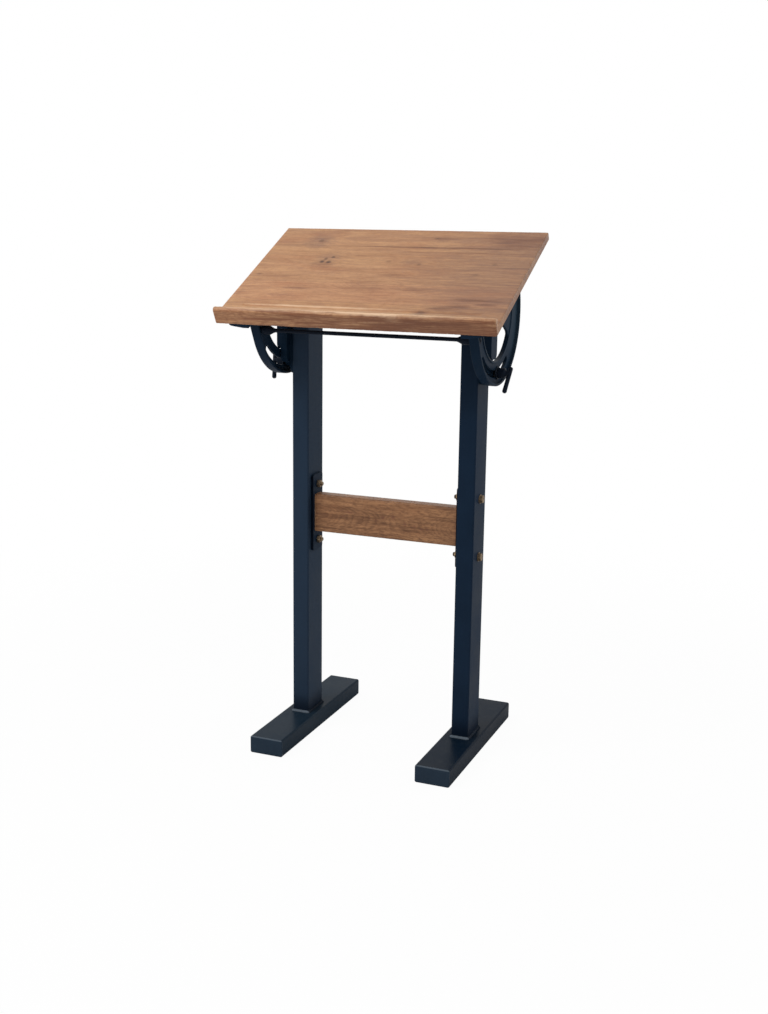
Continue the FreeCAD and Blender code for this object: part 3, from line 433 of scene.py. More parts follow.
        # a thin dark line along each plank joint
        share = 0.0
        for seam in self.look["seams"]:
            away = self.math("ABSOLUTE", self.minus(self.a, seam))
            line = self.band(away, *woodBase["seamWide"], woodBase["seamShade"], 0.0)
            share = self.math("MAXIMUM", share, line)
        return self.blend(share, tone, self.look["heart"])


def wood(name, look, turn, shift):
    # wood whose rings, streaks and knots run through the solid, so that every face shows its own figure
    timber = Timber(name, look, turn, shift)
    index, middle, (side, depth, lean) = timber.planks()
    late = timber.rings(index, middle, side, depth, lean)
    tone = timber.marked(timber.figure(late, side, depth))
    if look["seams"]:
        tone = timber.seamed(tone)
    rubbed = timber.times(timber.edges(woodBase["edgeWide"]), look["rubbed"])
    tone = timber.blend(rubbed, tone, look["edge"])
    rough = timber.band(late, 0.0, 1.0, look["roughness"], look["roughness"] - woodBase["glossDrop"])
    # late wood stands up, and pores and the gaps between fibres lie deeper
    deep = timber.plus(timber.times(timber.pore, 0.7), timber.times(timber.fibre, -0.35))
    relief = timber.minus(timber.times(late, 0.5), deep)
    return timber.finish(tone, rough, relief, woodBase["relief"], woodBase["soft"])


# posts: painted light makes the left one lighter, and painted shade darkens them from 92 mm down to 50 mm,
# where they stand on the feet
tubePaint = paintedSteel("tubePaint", linear(18, 33, 50), linear(58, 72, 88), paintedLeftLight=0.3,
                         paintedLightZone=(2, 0.092, 0.05, 0.65, linear(8, 14, 26)))
# castings: a painted highlight lightens them towards the back from y = 50 mm; their teal chipped corners are
# partly worn paint and partly painted highlight
castPaint = paintedSteel("castPaint", linear(15, 31, 47), linear(44, 70, 86), peel=0.00009, grainy=1.6,
                         soft=0.0022, paintedLightZone=(1, 0.05, 0.13, 0.6, linear(50, 66, 78)))
# feet: painted light makes the parts towards -x lighter
footPaint = paintedSteel("footPaint", linear(8, 21, 34), linear(50, 68, 82), specular=0.034, paintedLeftLight=0.25,
                         gloss=0.12, dusty=0.1)
# stretcher plates: painted shade turns their front edge nearly black, as a shadow gap
platePaint = paintedSteel("platePaint", linear(18, 32, 48), linear(58, 72, 88),
                          paintedLightZone=(1, -0.0235, -0.0248, 0.8, linear(2, 5, 14)))
# foot caps: a painted highlight along the top rim; the pale chipped corners are partly worn paint and partly
# painted highlight on the rounded edges
capPaint = paintedSteel("capPaint", linear(36, 48, 61), linear(112, 122, 132), soft=0.0012, chips=1.0,
                        paintedLightZone=(2, 0.0374, 0.0384, 0.4, linear(112, 122, 132)))
# welds: the bead in front of the post gets a painted highlight; the other beads keep the dark paint
weldPaint = paintedSteel("weldPaint", linear(14, 22, 34), linear(104, 114, 124), chips=0.15,
                         paintedLightZone=(1, -0.0395, -0.0425, 0.8, linear(104, 114, 124)))
blackSteel = paintedSteel("blackSteel", linear(17, 24, 35), linear(72, 80, 90), peel=0.00004)
dullZinc = platedSteel("dullZinc", linear(150, 130, 104), linear(104, 90, 78))
capPlastic = matteBlack("capPlastic", linear(14, 16, 20))

deskLook = {
    "pale": linear(200, 151, 108), "dark": linear(140, 92, 60), "red": linear(160, 102, 68),
    "heart": linear(70, 42, 32), "edge": linear(226, 190, 154), "stainAndShade": linear(108, 66, 46),
    "grey": linear(128, 94, 76), "gloss": 0.35, "roughness": 0.5, "rubbed": 0.3,
    "ring": 0.0075, "thin": 2.4, "waviness": 0.03, "contrast": 0.34, "streaks": 0.35, "fine": 0.26,
    "mottled": 0.3, "blotches": 0.5, "feather": 0.5, "crest": None,
    "low": -0.177, "high": 0.214, "seams": [-0.114, -0.032, 0.05, 0.132], "seed": 3.0,
    "heartAt": (-0.01, 0.035), "slope": (-0.025, 0.025), "archSoft": 0, "swing": 0.04, "swingOften": 3.0,
    # swirls and marks: place along and up the slope, half length, half width, then turns or strength
    "swirls": [
        (-0.205, 0.15, 0.035, 0.03, 1.8), (-0.155, 0.06, 0.045, 0.03, 1.8), (-0.02, -0.04, 0.06, 0.028, 6.0),
        (0.1, -0.05, 0.05, 0.02, 1.2), (0.22, -0.09, 0.07, 0.026, 2.0), (0.055, 0.062, 0.03, 0.02, 1.2)],
    "marks": {
        # grey: halos round knots, and painted shade that darkens the right of the board (the marks at 0.25
        # and 0.37 along)
        "grey": [
            (0.25, -0.07, 0.085, 0.06, 0.75), (-0.205, 0.15, 0.038, 0.036, 0.8),
            (-0.155, 0.075, 0.034, 0.028, 0.4), (0.37, 0.02, 0.33, 0.4, 0.85),
            (0.055, 0.066, 0.04, 0.02, 0.45)],
        # the mark at 0.275 along and 0.175 up is painted shade on the back right corner; the others are
        # stains
        "stainAndShade": [
            (0.11, 0.132, 0.24, 0.0045, 0.8), (0.15, 0.11, 0.19, 0.0055, 0.55),
            (0.275, 0.175, 0.1, 0.05, 0.75), (0.24, -0.087, 0.06, 0.007, 0.8),
            (0.215, -0.112, 0.036, 0.008, 0.8), (0.265, -0.104, 0.03, 0.007, 0.6),
            (0.18, -0.125, 0.04, 0.009, 0.7), (-0.162, 0.043, 0.034, 0.017, 0.55),
            (-0.175, -0.062, 0.048, 0.007, 0.65), (0.095, -0.052, 0.04, 0.009, 0.5),
            (0.085, 0.172, 0.034, 0.01, 0.55), (0.02, 0.006, 0.038, 0.007, 0.45),
            (-0.255, 0.138, 0.06, 0.018, 0.35), (-0.02, -0.04, 0.06, 0.03, 0.22),
            (0.137, -0.144, 0.022, 0.011, 0.8), (-0.2, 0.15, 0.014, 0.014, 0.6)],
        "heart": [
            (-0.204, 0.153, 0.0075, 0.0075, 0.8), (-0.163, 0.057, 0.007, 0.0075, 1.0),
            (-0.147, 0.056, 0.007, 0.0075, 1.0), (-0.159, 0.07, 0.0055, 0.0065, 0.9),
            (-0.144, 0.079, 0.0055, 0.0055, 0.8), (0.071, 0.174, 0.01, 0.0055, 0.5),
            (-0.006, 0.066, 0.008, 0.006, 0.4), (0.068, 0.056, 0.0065, 0.007, 0.5),
            (0.208, 0.016, 0.012, 0.0055, 0.5), (0.237, 0.065, 0.008, 0.007, 0.4),
            (-0.29, -0.006, 0.009, 0.006, 0.4), (0.137, -0.143, 0.012, 0.009, 0.6)],
        # edge: a painted highlight along the groove's back edge, then a paler strip between the groove and
        # the lip
        "edge": [(-0.085, -0.1345, 0.2, 0.003, 1.0), (-0.02, -0.149, 0.33, 0.012, 0.35)],
    },
}
# the desk's woods read places turned level and counted from the pivot, as tilted() takes them
level, pivotY, pivotZ = -deskFrame["tilt"], deskFrame["pivotY"], deskFrame["pivotZ"]
sin, cos = np.sin(level), np.cos(level)
fromPivot = (0, pivotZ * sin - pivotY * cos, -pivotY * sin - pivotZ * cos)
deskWood = wood("deskWood", deskLook, level, fromPivot)

# the lip: crest paints shade on the face below the bullnose, and the edge marks are painted highlights along
# the crest
lipLook = dict(
    deskLook, pale=linear(214, 165, 119), dark=linear(130, 82, 52), ring=0.004, thin=2.0,
    contrast=0.4, streaks=0.6, fine=0.9, mottled=0.6, crest=(0.0885, 0.0915, 0.1),
    low=-0.192, high=-0.177, seams=[], seed=21.0, heartAt=(0.0, 0.02), swirls=[],
    marks={"stainAndShade": [(0.16, -0.194, 0.23, 0.011, 0.65), (-0.06, -0.195, 0.08, 0.007, 0.6)],
           "edge": [(0.06, -0.182, 0.22, 0.0085, 1.4), (0.2, -0.183, 0.18, 0.006, 0.6),
                    (-0.2, -0.182, 0.2, 0.0075, 0.7)]})
lipWood = wood("lipWood", lipLook, level, fromPivot)

railLook = dict(
    deskLook, pale=linear(178, 128, 88), dark=linear(94, 58, 34), red=linear(140, 92, 58),
    heart=linear(58, 34, 22), edge=linear(196, 164, 138), rubbed=0.9, ring=0.0019,
    waviness=0.034, contrast=0.42, streaks=0.42, fine=0.6, mottled=0.6, feather=1.1,
    low=-0.044, high=0.044, seams=[], seed=8.0, heartAt=(0.044, 0.044), slope=(0.13, 0.13),
    archAt=0.0, archSoft=0.04, swing=0.008, swingOften=16.0, middle=0.525,
    swirls=[(-0.004, -0.005, 0.016, 0.014, 1.2)],
    marks={
        "stainAndShade": [
            (-0.089, -0.009, 0.016, 0.003, 1.0), (-0.107, -0.012, 0.006, 0.003, 0.8),
            (-0.102, 0.001, 0.005, 0.003, 0.8), (-0.021, 0.002, 0.003, 0.006, 0.7),
            (-0.004, -0.005, 0.005, 0.005, 0.9), (0.021, -0.0075, 0.006, 0.007, 0.9),
            (0.05, 0.006, 0.005, 0.007, 0.7), (0.073, 0.008, 0.004, 0.004, 0.8),
            (0.09, 0.013, 0.005, 0.0035, 0.8), (0.103, 0.012, 0.003, 0.005, 0.8),
            # the mark at 0.172 along is a painted shadow across the beam beside the right post
            (0.172, 0.0, 0.006, 0.05, 0.5)],
        # edge: the pale line at the left end is partly a rubbed end and partly a painted highlight
        "edge": [(-0.176, 0.012, 0.004, 0.032, 0.8)]})
# a quarter turn lays the beam's height across the grain, counted from its middle
railWood = wood("railWood", railLook, np.pi / 2, (0, railLook["middle"], 0))
print("stage: materials mixed")


def clothe(material, *names):
    # gives frame parts one material
    for name in names:
        nodes[name].data.materials.clear()
        nodes[name].data.materials.append(material)


clothe(capPaint, "foot_end_caps")
clothe(footPaint, "foot_left", "foot_right")
clothe(tubePaint, "post_left", "post_right")
clothe(platePaint, "stretcher_plate_left", "stretcher_plate_right")
clothe(castPaint, "post_bracket_left", "post_bracket_right", "quadrant_left", "quadrant_right")
clothe(blackSteel, "clamp_lever_left", "clamp_lever_right", "tie_rod", "pivot_pins", "clamp_studs",
       "clamp_washers", "bracket_bolts", "tie_rod_nuts", "desk_screws")
clothe(dullZinc, "stretcher_bolts", "stretcher_nuts", "stretcher_washers", "stretcher_screws")
clothe(capPlastic, "post_caps")
clothe(deskWood, "desk_board")
clothe(lipWood, "front_lip")
clothe(railWood, "stretcher")

# Pieces. Each stands for CAD nodes and adds what a plain solid leaves out.

boardLook = {
    "halfWidth": 315.0, "front": -177.0, "back": 214.0, "low": 60.5, "high": 78.5,
    "round": 2.4, "seamRound": 0.4, "grooveMiddle": -140.0, "grooveWide": 12.0, "grooveDeep": 2.4,
    "grooveEnd": 273.0, "grooveRunOut": 9.0, "wear": 0.25, "wearReach": 4.0,
    # points: how many, how far from corners and from the groove, and how far down still counts as top
    "points": 60, "cornerClear": 6.0, "grooveClear": 9.0, "topWithin": 1.0,
}


def boardSection(look):
    # a rectangle in the slope plane with quarter circles as corners, walked from its front bottom corner
    front, back, low, high = look["front"], look["back"], look["low"], look["high"]
    large, small = look["round"], look["seamRound"]
    corners = [(front + large, low + large, large), (back - large, low + large, large),
               (back - large, high - large, large), (front + small, high - small, small)]
    arcs = []
    for quarter, (a, b, radius) in enumerate(corners):
        angle = np.radians(np.linspace(180, 270, 6) + 90 * quarter)
        arcs.append(np.stack([a + radius * np.cos(angle), b + radius * np.sin(angle)], -1))
    across = np.linspace(front + look["cornerClear"], back - look["cornerClear"], look["points"])
    middle = look["grooveMiddle"]
    half = middle + look["grooveWide"] * np.array([-0.62, -0.54, -0.5, -0.46, -0.4, -0.32, -0.2, 0])
    beside = across[np.abs(across - middle) > look["grooveClear"]]
    top = np.sort(np.concatenate([beside, half, 2 * middle - half[-2::-1]]))[::-1]
    bottomLine = np.stack([across, np.full_like(across, low)], -1)
    topLine = np.stack([top, np.full_like(top, high)], -1)
    return np.concatenate([arcs[0], bottomLine, arcs[1], arcs[2], topLine, arcs[3]])


def deskBoard(look):
    # The section is carried across and shrinks by a quarter circle near both ends. The groove sinks the top
    # by (1 - (2 * distance / width)^2)^1.2 and runs out in a smooth step. Wear sinks the back and side edges
    # by a wave that dies away as exp(-distance / reach).
    half, radius = look["halfWidth"], look["round"]
    ends = endPlaces(half, radius, 6)
    inner = np.linspace(0, ends[0], look["points"])[:-1]
    runOut = look["grooveEnd"] + look["grooveRunOut"] * np.linspace(-1, 1, 13)
    x = mirrored(np.unique(np.round(np.concatenate([inner, runOut, ends]), 4)))[:, None]
    middle = np.array([look["front"] + look["back"], look["low"] + look["high"]]) / 2
    size = np.array([look["back"] - look["front"], look["high"] - look["low"]]) / 2
    shrink = 1 - endInset(x, half, radius)[..., None] / size
    a, b = np.moveaxis(middle + (boardSection(look) - middle) * shrink, -1, 0)
    deep = np.clip(1 - (2 * (a - look["grooveMiddle"]) / look["grooveWide"]) ** 2, 0, 1) ** 1.2
    fade = np.clip((look["grooveEnd"] - np.abs(x)) / look["grooveRunOut"], 0, 1)
    fade = fade * fade * (3 - 2 * fade)
    edge = np.exp(-(look["back"] - a) / look["wearReach"]) + np.exp(-(half - np.abs(x)) / look["wearReach"])
    rub = wave(x + 1.7 * a, 5, (41, 73, 19, 9), look["wear"]) + look["wear"] * 0.6
    sunk = look["grooveDeep"] * deep * fade + np.clip(rub, 0, None) * np.clip(edge, 0, 1)
    b = b - np.where(b > look["high"] - look["topWithin"], sunk, 0)
    return sweptFaces(tilted(x * mm, a * mm, b * mm))


lipShape = {"halfWidth": 315.0, "front": -192.0, "back": -177.0, "low": 60.5, "crest": 97.5, "bullnose": 7.3,
            "frontRound": 2.0, "endRound": 4.5, "seatBevel": 0.3, "wear": 0.5}


def frontLip(look):
    # A bullnose strip: a quarter circle at the front foot and a half circle on top. It draws in by a quarter
    # circle towards both ends, and waves dent its crest and its lower front edge.
    front, back, low, crest = look["front"], look["back"], look["low"], look["crest"]
    nose, small, bevel = look["bullnose"], look["frontRound"], look["seatBevel"]
    over = np.radians(np.linspace(0, 180, 19))
    down = np.radians(np.linspace(180, 270, 6))
    rise = np.linspace(low + small, crest - nose, 9)[1:-1]
    middle, half = (front + back) / 2, (back - front) / 2
    arch = np.stack([middle + half * np.cos(over), crest - nose + nose * np.sin(over)], -1)
    face = np.stack([np.full_like(rise, front), rise[::-1]], -1)
    foot = np.stack([front + small + small * np.cos(down), low + small + small * np.sin(down)], -1)
    seat = np.array([[back - bevel, low], [back, low + bevel]])
    section = np.concatenate([arch, face, foot, seat, np.stack([np.full_like(rise, back), rise], -1)])
    half, radius = look["halfWidth"], look["endRound"]
    ends = endPlaces(half, radius, 8)
    x = mirrored(np.concatenate([np.linspace(0, ends[0], 110)[:-1], ends]))[:, None]
    inset = endInset(x, half, radius)
    share = (back - section[:, 0]) / (back - front)
    a, b = section[:, 0] + share * inset * 0.9, section[:, 1]
    b = b + np.where(b > crest - nose, -0.5, np.where(b < low + small, 0.35, 0)) * inset
    dents = np.clip(wave(x, 11, (170, 61, 23, 11), look["wear"]) + 0.25, 0, None)
    b = b - np.where(b > crest - nose, dents, 0)
    nicks = np.clip(wave(x, 4, (97, 37, 13, 7), look["wear"]) + 0.3, 0, None)
    b = b + np.where(b < low + small, nicks * share, 0)
    return sweptFaces(tilted(x * mm, a * mm, b * mm))


railShape = {"halfLength": 174.0, "halfThick": 17.0, "low": 481.0, "high": 569.0, "round": 4.0, "wear": 0.45}


def stretcherBeam(look):
    # a rounded rectangle carried between the posts, each corner worn in by a wave, most at its middle
    middle = (look["low"] + look["high"]) / 2
    section = roundedRectangle(look["halfThick"], (look["high"] - look["low"]) / 2, look["round"])
    atCorner = np.tile(np.sin(np.radians(np.linspace(0, 180, cornerSteps))), 4)
    x = np.linspace(-look["halfLength"], look["halfLength"], 90)[:, None]
    place = x + 90 * np.sign(section[:, 0]) + 0.6 * section[:, 1]
    worn = atCorner * np.clip(wave(place, 17, (83, 31, 13), look["wear"]), 0, None)
    y, z = np.moveaxis(section - np.sign(section) * worn[..., None], -1, 0)
    return sweptFaces(np.stack([np.broadcast_to(x, y.shape), y, middle + z], -1) * mm)


capShape = {"footX": 200.0, "halfWidth": 40.0, "height": 40.0, "from": 218.0, "to": 221.0, "corner": 4.2,
            "round": 2.8}


def footCap(look, side, way):
    # a rounded rectangle that draws in by a quarter circle towards its outer face
    angle = np.radians(np.linspace(0, 90, 7))
    y = way * (look["from"] + (look["to"] - look["from"]) * np.sin(angle))
    half = look["height"] / 2
    xz = np.stack([roundedRectangle(look["halfWidth"] - inset, half - inset, look["corner"] - inset)
                   for inset in look["round"] * (1 - np.cos(angle))])
    y = np.broadcast_to(y[:, None], xz.shape[:2])
    return sweptFaces(np.stack([side * look["footX"] + xz[..., 0], y, half + xz[..., 1]], -1) * mm)


weldShape = {"postHalf": (20.0, 40.0), "postRound": 4.0, "postX": 200.0, "floor": 40.0, "size": 4.7,
             "ripple": 0.32, "pitch": 2.3, "uneven": 0.3, "along": 520, "lap": 0.35, "sunk": (-0.8, -0.4)}


def weldBead(look, side):
    # A quarter-round bead goes round the post's rounded rectangle: a straight side and a corner, four times.
    # Its size swells in overlapping crescents: size + ripple * (2 |sin(pi * length / pitch)| - 1).
    radius = look["postRound"]
    halfX, halfY = np.array(look["postHalf"]) - radius
    corner = np.pi / 2 * radius
    legs = np.array([2 * halfY, corner, 2 * halfX, corner] * 2)
    starts = np.concatenate([[0], np.cumsum(legs)])
    total = starts[-1]
    s = np.arange(look["along"]) * total / look["along"]
    leg = np.searchsorted(starts, s, side="right") - 1
    past, straight = s - starts[leg], leg % 2 == 0
    facing = np.pi / 2 * (leg // 2 + np.where(straight, 0, past / legs[leg]))
    outX, outY = np.cos(facing), np.sin(facing)
    # a side runs from one corner's centre to the next one's
    cornersX, cornersY = halfX * np.array([1, 1, -1, -1]), halfY * np.array([-1, 1, 1, -1])
    here, there = leg // 2, (leg // 2 + 1) % 4
    baseX = np.where(straight, cornersX[here] - outY * past, cornersX[there])
    baseY = np.where(straight, cornersY[here] + outX * past, cornersY[there])
    angle = np.radians(np.linspace(-6, 96, 11))
    phase = s[:, None] / look["pitch"] + look["lap"] * np.cos(2 * angle)
    size = look["size"] + look["ripple"] * (2 * np.abs(np.sin(np.pi * phase)) - 1)
    size = size + wave(s[:, None], 23 + side, (total / 3, total / 7, total / 19), look["uneven"])
    inside = np.ones((len(s), 1))
    out = radius + np.concatenate([size * np.cos(angle), inside * look["sunk"][0]], 1)
    up = np.concatenate([size * np.sin(angle), inside * look["sunk"][1]], 1)
    x = side * look["postX"] + baseX[:, None] + outX[:, None] * out
    y = baseY[:, None] + outY[:, None] * out
    return sweptFaces(np.stack([x, y, look["floor"] + up], -1) * mm, closedPath=True)


def hexBlock(low, high, flats, centre, side, bothBevelled=False):
    # Hexagon bar between two faces. Its radius is flats / 2 / cos(angle from the nearest flat), cut by a
    # 30 degree cone at the far face or at both.
    edge, around = flats * 0.045, 72
    along = np.array([low, low + edge, low + 2 * edge, high - 2 * edge, high - edge, high])[:, None]
    angle = np.arange(around) * 2 * np.pi / around
    flat = flats / 2 / np.cos(angle % (np.pi / 3) - np.pi / 6)
    inset = np.minimum(high - along, along - low) if bothBevelled else high - along
    return lathe(along, np.minimum(flat, flats * 0.475 + inset * 1.73), centre, side, around)


def threadedRod(low, high, dia, pitch, centre, side):
    # screw thread: the radius falls and rises once per pitch, later as the angle grows; both ends taper
    along = np.linspace(low, high, int((high - low) / pitch * 10))[:, None]
    phase = (along / pitch - np.arange(48) / 48) % 1
    radius = dia / 2 - 0.61 * pitch * (1 - np.abs(2 * phase - 1)) ** 1.2
    end = np.clip(np.minimum(along - low, high - along) / pitch, 0, 1)
    return lathe(along, radius * (0.86 + 0.14 * end), centre, side)


# bolts, counted out from the desk's middle; places are (y, z), collars and shanks (along, radius) pairs
boltLook = {"flats": 16.0, "dia": 10.0, "pitch": 1.5}
stretcherBoltLook = {
    "places": [(0.0, 459.0), (0.0, 591.0)], "head": (222.4, 228.4), "thread": (161.0, 176.0),
    "collar": [(222.0, 7.6), (222.2, 7.8), (222.5, 7.8)], "shank": [(175.0, 5.0), (222.2, 5.0)],
    "nut": (166.0, 173.9),
}
bracketBoltLook = {
    "places": [(16.0, 885.56), (16.0, 975.0)], "head": (228.3, 234.4), "thread": (202.0, 228.0),
    "collar": [(227.9, 7.7), (228.2, 7.9), (228.5, 7.9)], "shank": [],
}


def bolt(look, place, side):
    # a hexagon head on its collar, a thread, and a plain shank where there is one
    shapes = [hexBlock(*look["head"], boltLook["flats"], place, side), lathed(look["collar"], place, side),
              threadedRod(*look["thread"], boltLook["dia"], boltLook["pitch"], place, side)]
    if look["shank"]:
        shapes.append(lathed(look["shank"], place, side))
    return shapes


stretcherBolts, stretcherNuts, bracketBolts = [], [], []
for side in (-1, 1):
    for place in stretcherBoltLook["places"]:
        stretcherBolts += bolt(stretcherBoltLook, place, side)
        stretcherNuts.append(hexBlock(*stretcherBoltLook["nut"], boltLook["flats"], place, side, True))
    for place in bracketBoltLook["places"]:
        bracketBolts += bolt(bracketBoltLook, place, side)
makePiece("stretcherBolts", stretcherBolts, "stand", dullZinc, "stretcher_bolts", 30)
makePiece("stretcherNuts", stretcherNuts, "stand", dullZinc, "stretcher_nuts", 30)
makePiece("bracketBolts", bracketBolts, "stand", blackSteel, "bracket_bolts", 30)

makePiece("deskTop", [deskBoard(boardLook)], "desktop", deskWood, "desk_board", 50)
makePiece("paperLip", [frontLip(lipShape)], "desktop", lipWood, "front_lip", 50)
makePiece("crossBeam", [stretcherBeam(railShape)], "stand", railWood, "stretcher", 50)
footCaps = [footCap(capShape, side, way) for side in (-1, 1) for way in (-1, 1)]
makePiece("footCaps", footCaps, "stand", capPaint, "foot_end_caps", 50)
footWelds = [weldBead(weldShape, side) for side in (-1, 1)]
makePiece("footWelds", footWelds, "stand", weldPaint, "post_welds", 60)

rodShape = {"place": (-136.0, 15.0), "radius": 4.3, "uneven": 0.03, "flare": (207.0, 220.0),
            "flarePower": 1.25, "boss": 10.0, "bossEnd": 237.7, "shoulder": 1.5, "neck": 7.0, "web": 246.0,
            "thread": (245.0, 260.0), "dia": 8.0, "pitch": 1.25, "nut": (252.02, 258.5), "flats": 13.0}


def tieRod(look):
    # half the rod's outline, mirrored: the bar, a cone whose radius grows by a power of its length, the boss
    # with a quarter circle as its shoulder, and the neck
    bar = np.linspace(0, look["flare"][0], 40)[1:-1]
    bar = np.stack([bar, look["radius"] + wave(bar, 9, (61, 23), look["uneven"])], -1)
    share = np.linspace(0, 1, 15)
    flare = np.stack([look["flare"][0] + share * (look["flare"][1] - look["flare"][0]),
                      look["radius"] + (look["boss"] - look["radius"]) * share ** look["flarePower"]], -1)
    arc, corner = np.radians(np.linspace(0, 90, 7)), [look["bossEnd"], look["boss"]]
    shoulder = corner + look["shoulder"] * (np.stack([np.sin(arc), np.cos(arc)], -1) - 1)
    neck = [[look["bossEnd"], look["neck"]], [look["web"], look["neck"]]]
    right = np.concatenate([bar, flare, shoulder, neck])
    return lathed(np.concatenate([right[::-1] * [-1, 1], right]), look["place"])


rodShapes, rodNuts = [tieRod(rodShape)], []
for side in (-1, 1):
    place = rodShape["place"]
    rodShapes.append(threadedRod(*rodShape["thread"], rodShape["dia"], rodShape["pitch"], place, side))
    rodNuts.append(hexBlock(*rodShape["nut"], rodShape["flats"], place, side))
makePiece("tieRod", map(leaned, rodShapes), "desktop", blackSteel, "tie_rod", 35)
makePiece("tieRodNuts", map(leaned, rodNuts), "desktop", blackSteel, "tie_rod_nuts", 30)

leverShape = {"stud": (-7.5, 872.46), "hub": (255.1, 271.1), "bore": 4.9, "hubRadius": 11.0, "nearRim": 1.0,
              "farRim": 2.5, "neckRadius": 6.0, "neckEnd": 5.4, "barAt": 280.0, "up": 14.7, "down": 44.4,
              "lean": 8.0, "swing": 21.4, "radius": 4.75, "swell": 0.3, "swellFrom": 20.0, "swellOver": 20.0}


def leverHub(look, side):
    # a disc with quarter circles as rims that sweeps down to its neck along another one
    low, high = look["hub"]
    near, far = look["nearRim"], look["farRim"]
    inner, outer = look["hubRadius"] - near, look["hubRadius"] - far
    fall = outer - look["neckRadius"]
    arc = np.radians(np.linspace(0, 90, 9))
    sin, cos = np.sin(arc), np.cos(arc)
    rims = [[[low, look["bore"]]], np.stack([low + near * (1 - cos), inner + near * sin], -1),
            np.stack([high - far + far * sin, outer + far * cos], -1),
            np.stack([high + fall * (1 - cos), look["neckRadius"] + fall * (1 - sin)], -1)[1:],
            [[look["barAt"], look["neckEnd"]]]]
    return lathed(np.concatenate(rims), look["stud"], side)


def leverBar(look, side):
    # A straight round bar of one radius, which swells a little to its lower tip. Its ends are half circles:
    # sqrt(radius^2 - (radius - distance from the tip)^2).
    lean, swing = np.radians([look["lean"], look["swing"]])
    up = np.array([side * np.sin(lean), np.cos(lean) * np.sin(swing), np.cos(lean) * np.cos(swing)])
    across = np.array([0, np.cos(swing), -np.sin(swing)])
    out = np.cross(across, up)
    radius, top, bottom = look["radius"], look["up"], -look["down"]
    cap = np.linspace(0.06, 1, 9) ** 1.4 * radius
    straight = np.linspace(bottom + radius, top - radius, 30)[1:-1]
    t = np.concatenate([bottom + cap, straight, (top - cap)[::-1]])
    tip = np.minimum(np.minimum(t - bottom, top - t), radius)
    size = np.sqrt(np.maximum(radius ** 2 - (radius - tip) ** 2, 0))
    lower = np.clip((-t - look["swellFrom"]) / look["swellOver"], 0, 1)
    size = size * (1 + look["swell"] / radius * lower ** 2)
    angle = np.arange(32) * 2 * np.pi / 32
    ring = across * np.cos(angle)[:, None] + out * np.sin(angle)[:, None]
    centre = np.array([side * look["barAt"], *look["stud"]])
    return sweptFaces((centre + t[:, None, None] * up + size[:, None, None] * ring) * mm)


for side, name in ((-1, "left"), (1, "right")):
    makePiece("clampHandle_" + name, [leverHub(leverShape, side), leverBar(leverShape, side)],
              "clamp_lever_" + name, blackSteel, "clamp_lever_" + name, 35)
print("stage: pieces made")

# Room: a pale floor that keeps a faint shadow, a white surround and soft lamps.
roomLook = {"floorSize": 60.0, "floorAt": -0.0005, "floorColor": (0.88, 0.88, 0.88, 1), "glowNear": 0.96,
            "glowFar": 1.0, "fadeFrom": 0.8, "fadeTo": 2.2, "worldLight": 0.56}


def makeFloor(look):
    # to the camera the floor glows, and more so with distance, so that it runs into the surround unseen
    bpy.ops.mesh.primitive_plane_add(size=look["floorSize"])
    floor = bpy.context.object
    floor.name = "floor"
    floor.location.z = look["floorAt"]
    material = bpy.data.materials.new("paleFloor")
    material.use_nodes = True
    tree = material.node_tree
    tree.nodes.clear()
    place = addNode(tree, "ShaderNodeTexCoord").outputs["Object"]
    away = addNode(tree, "ShaderNodeVectorMath", {0: place}, operation="LENGTH").outputs["Value"]
    fade = addNode(tree, "ShaderNodeMapRange", {
        "Value": away, "From Min": look["fadeFrom"], "From Max": look["fadeTo"],
        "To Min": look["glowNear"], "To Max": look["glowFar"]}, interpolation_type="SMOOTHSTEP").outputs[0]
    seen = addNode(tree, "ShaderNodeLightPath").outputs["Is Camera Ray"]
    share = addNode(tree, "ShaderNodeMath", {0: seen, 1: fade}, operation="MULTIPLY").outputs[0]
    matte = addNode(tree, "ShaderNodeBsdfDiffuse", {"Color": look["floorColor"]}).outputs[0]
    glow = addNode(tree, "ShaderNodeEmission", {"Strength": 1.0}).outputs[0]
    mix = addNode(tree, "ShaderNodeMixShader", {0: share, 1: matte, 2: glow}).outputs[0]
    addNode(tree, "ShaderNodeOutputMaterial", {"Surface": mix})
    floor.data.materials.append(material)


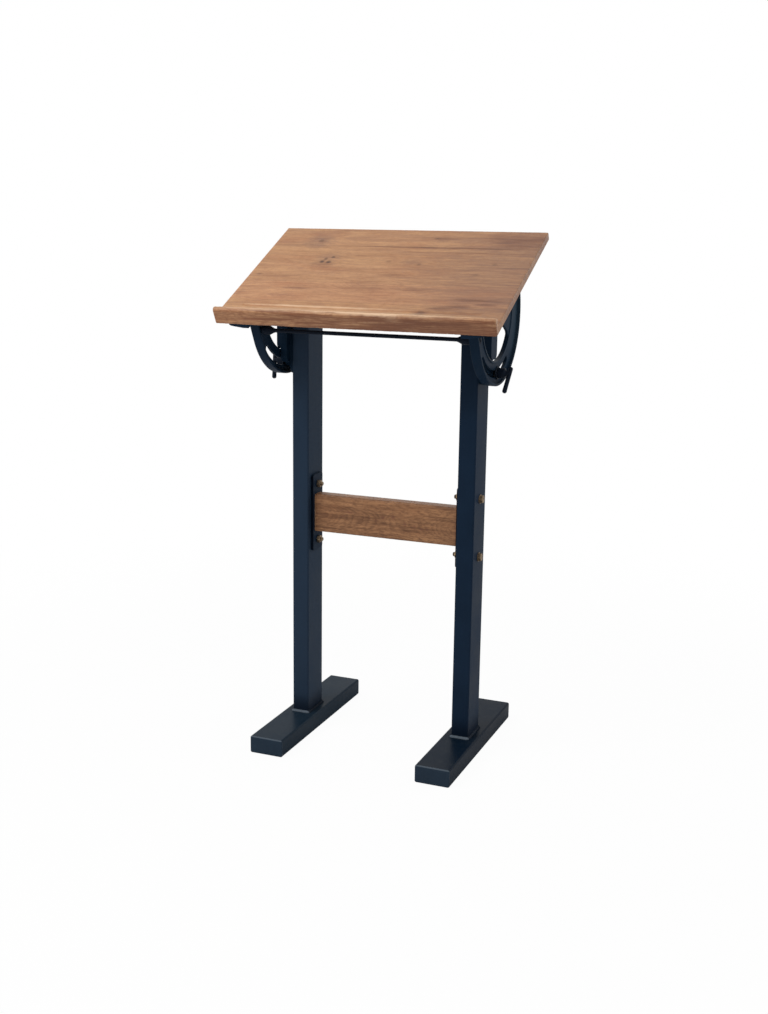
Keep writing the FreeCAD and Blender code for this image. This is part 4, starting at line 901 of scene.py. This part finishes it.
def makeSurround(look):
    # white where the camera, a reflection or glass sees it, and a plain level of light for all else
    world = bpy.data.worlds.new("surround")
    bpy.context.scene.world = world
    world.use_nodes = True
    tree = world.node_tree
    path = addNode(tree, "ShaderNodeLightPath").outputs
    seen = path["Is Camera Ray"]
    for ray in ("Is Glossy Ray", "Is Transmission Ray"):
        seen = addNode(tree, "ShaderNodeMath", {0: seen, 1: path[ray]}, operation="MAXIMUM").outputs[0]
    levels = {"Value": seen, "To Min": look["worldLight"], "To Max": 1.0}
    background = tree.nodes["Background"].inputs
    feed(tree, background["Color"], (1, 1, 1, 1))
    feed(tree, background["Strength"], addNode(tree, "ShaderNodeMapRange", levels).outputs[0])


lamps = {  # name: place, aimed at, size, watts
    "key": ((-1.5, -1.6, 2.6), (0.0, 0.0, 0.9), 1.6, 40.0),
    "side": ((1.9, -0.9, 2.9), (0.0, 0.0, 0.7), 1.8, 8.0),
    "rear": ((2.1, 1.5, 1.3), (0.0, 0.0, 0.8), 1.6, 10.0),
}


def hangLamps():
    # square soft lamps, each turned to what it lights
    for name, (place, target, size, watts) in lamps.items():
        light = bpy.data.lights.new(name, "AREA")
        light.size = size
        light.energy = watts
        lamp = bpy.data.objects.new(name, light)
        bpy.context.scene.collection.objects.link(lamp)
        lamp.location = place
        lamp.rotation_euler = (Vector(target) - Vector(place)).to_track_quat("-Z", "Y").to_euler()


cameraLook = {"place": (1.0742, -2.6804, 1.1985), "yaw": 21.99, "down": 12.63, "roll": 0.76, "lens": 46.18,
              "sensor": 36.0, "clipEnd": 100.0}


def placeCamera(look):
    # ahead follows yaw and the angle down; right and up are square to it and turned round it by the roll
    yaw, down, roll = np.radians([look["yaw"], look["down"], look["roll"]])
    ahead = np.array([-np.sin(yaw) * np.cos(down), np.cos(yaw) * np.cos(down), -np.sin(down)])
    right = np.array([np.cos(yaw), np.sin(yaw), 0])
    up = np.cross(right, ahead)
    rightRolled = right * np.cos(roll) + up * np.sin(roll)
    upRolled = -right * np.sin(roll) + up * np.cos(roll)
    data = bpy.data.cameras.new("view")
    data.sensor_fit = "VERTICAL"
    data.sensor_height = look["sensor"]
    data.lens = look["lens"]
    data.clip_end = look["clipEnd"]
    camera = bpy.data.objects.new("view", data)
    bpy.context.scene.collection.objects.link(camera)
    columns = np.stack([rightRolled, upRolled, -ahead], 1)
    camera.matrix_world = Matrix.Translation(look["place"]) @ Matrix(columns.tolist()).to_4x4()
    bpy.context.scene.camera = camera


makeFloor(roomLook)
makeSurround(roomLook)
hangLamps()
placeCamera(cameraLook)
bpy.context.scene.view_settings.view_transform = "Standard"
print("stage: room, lamps and camera set")
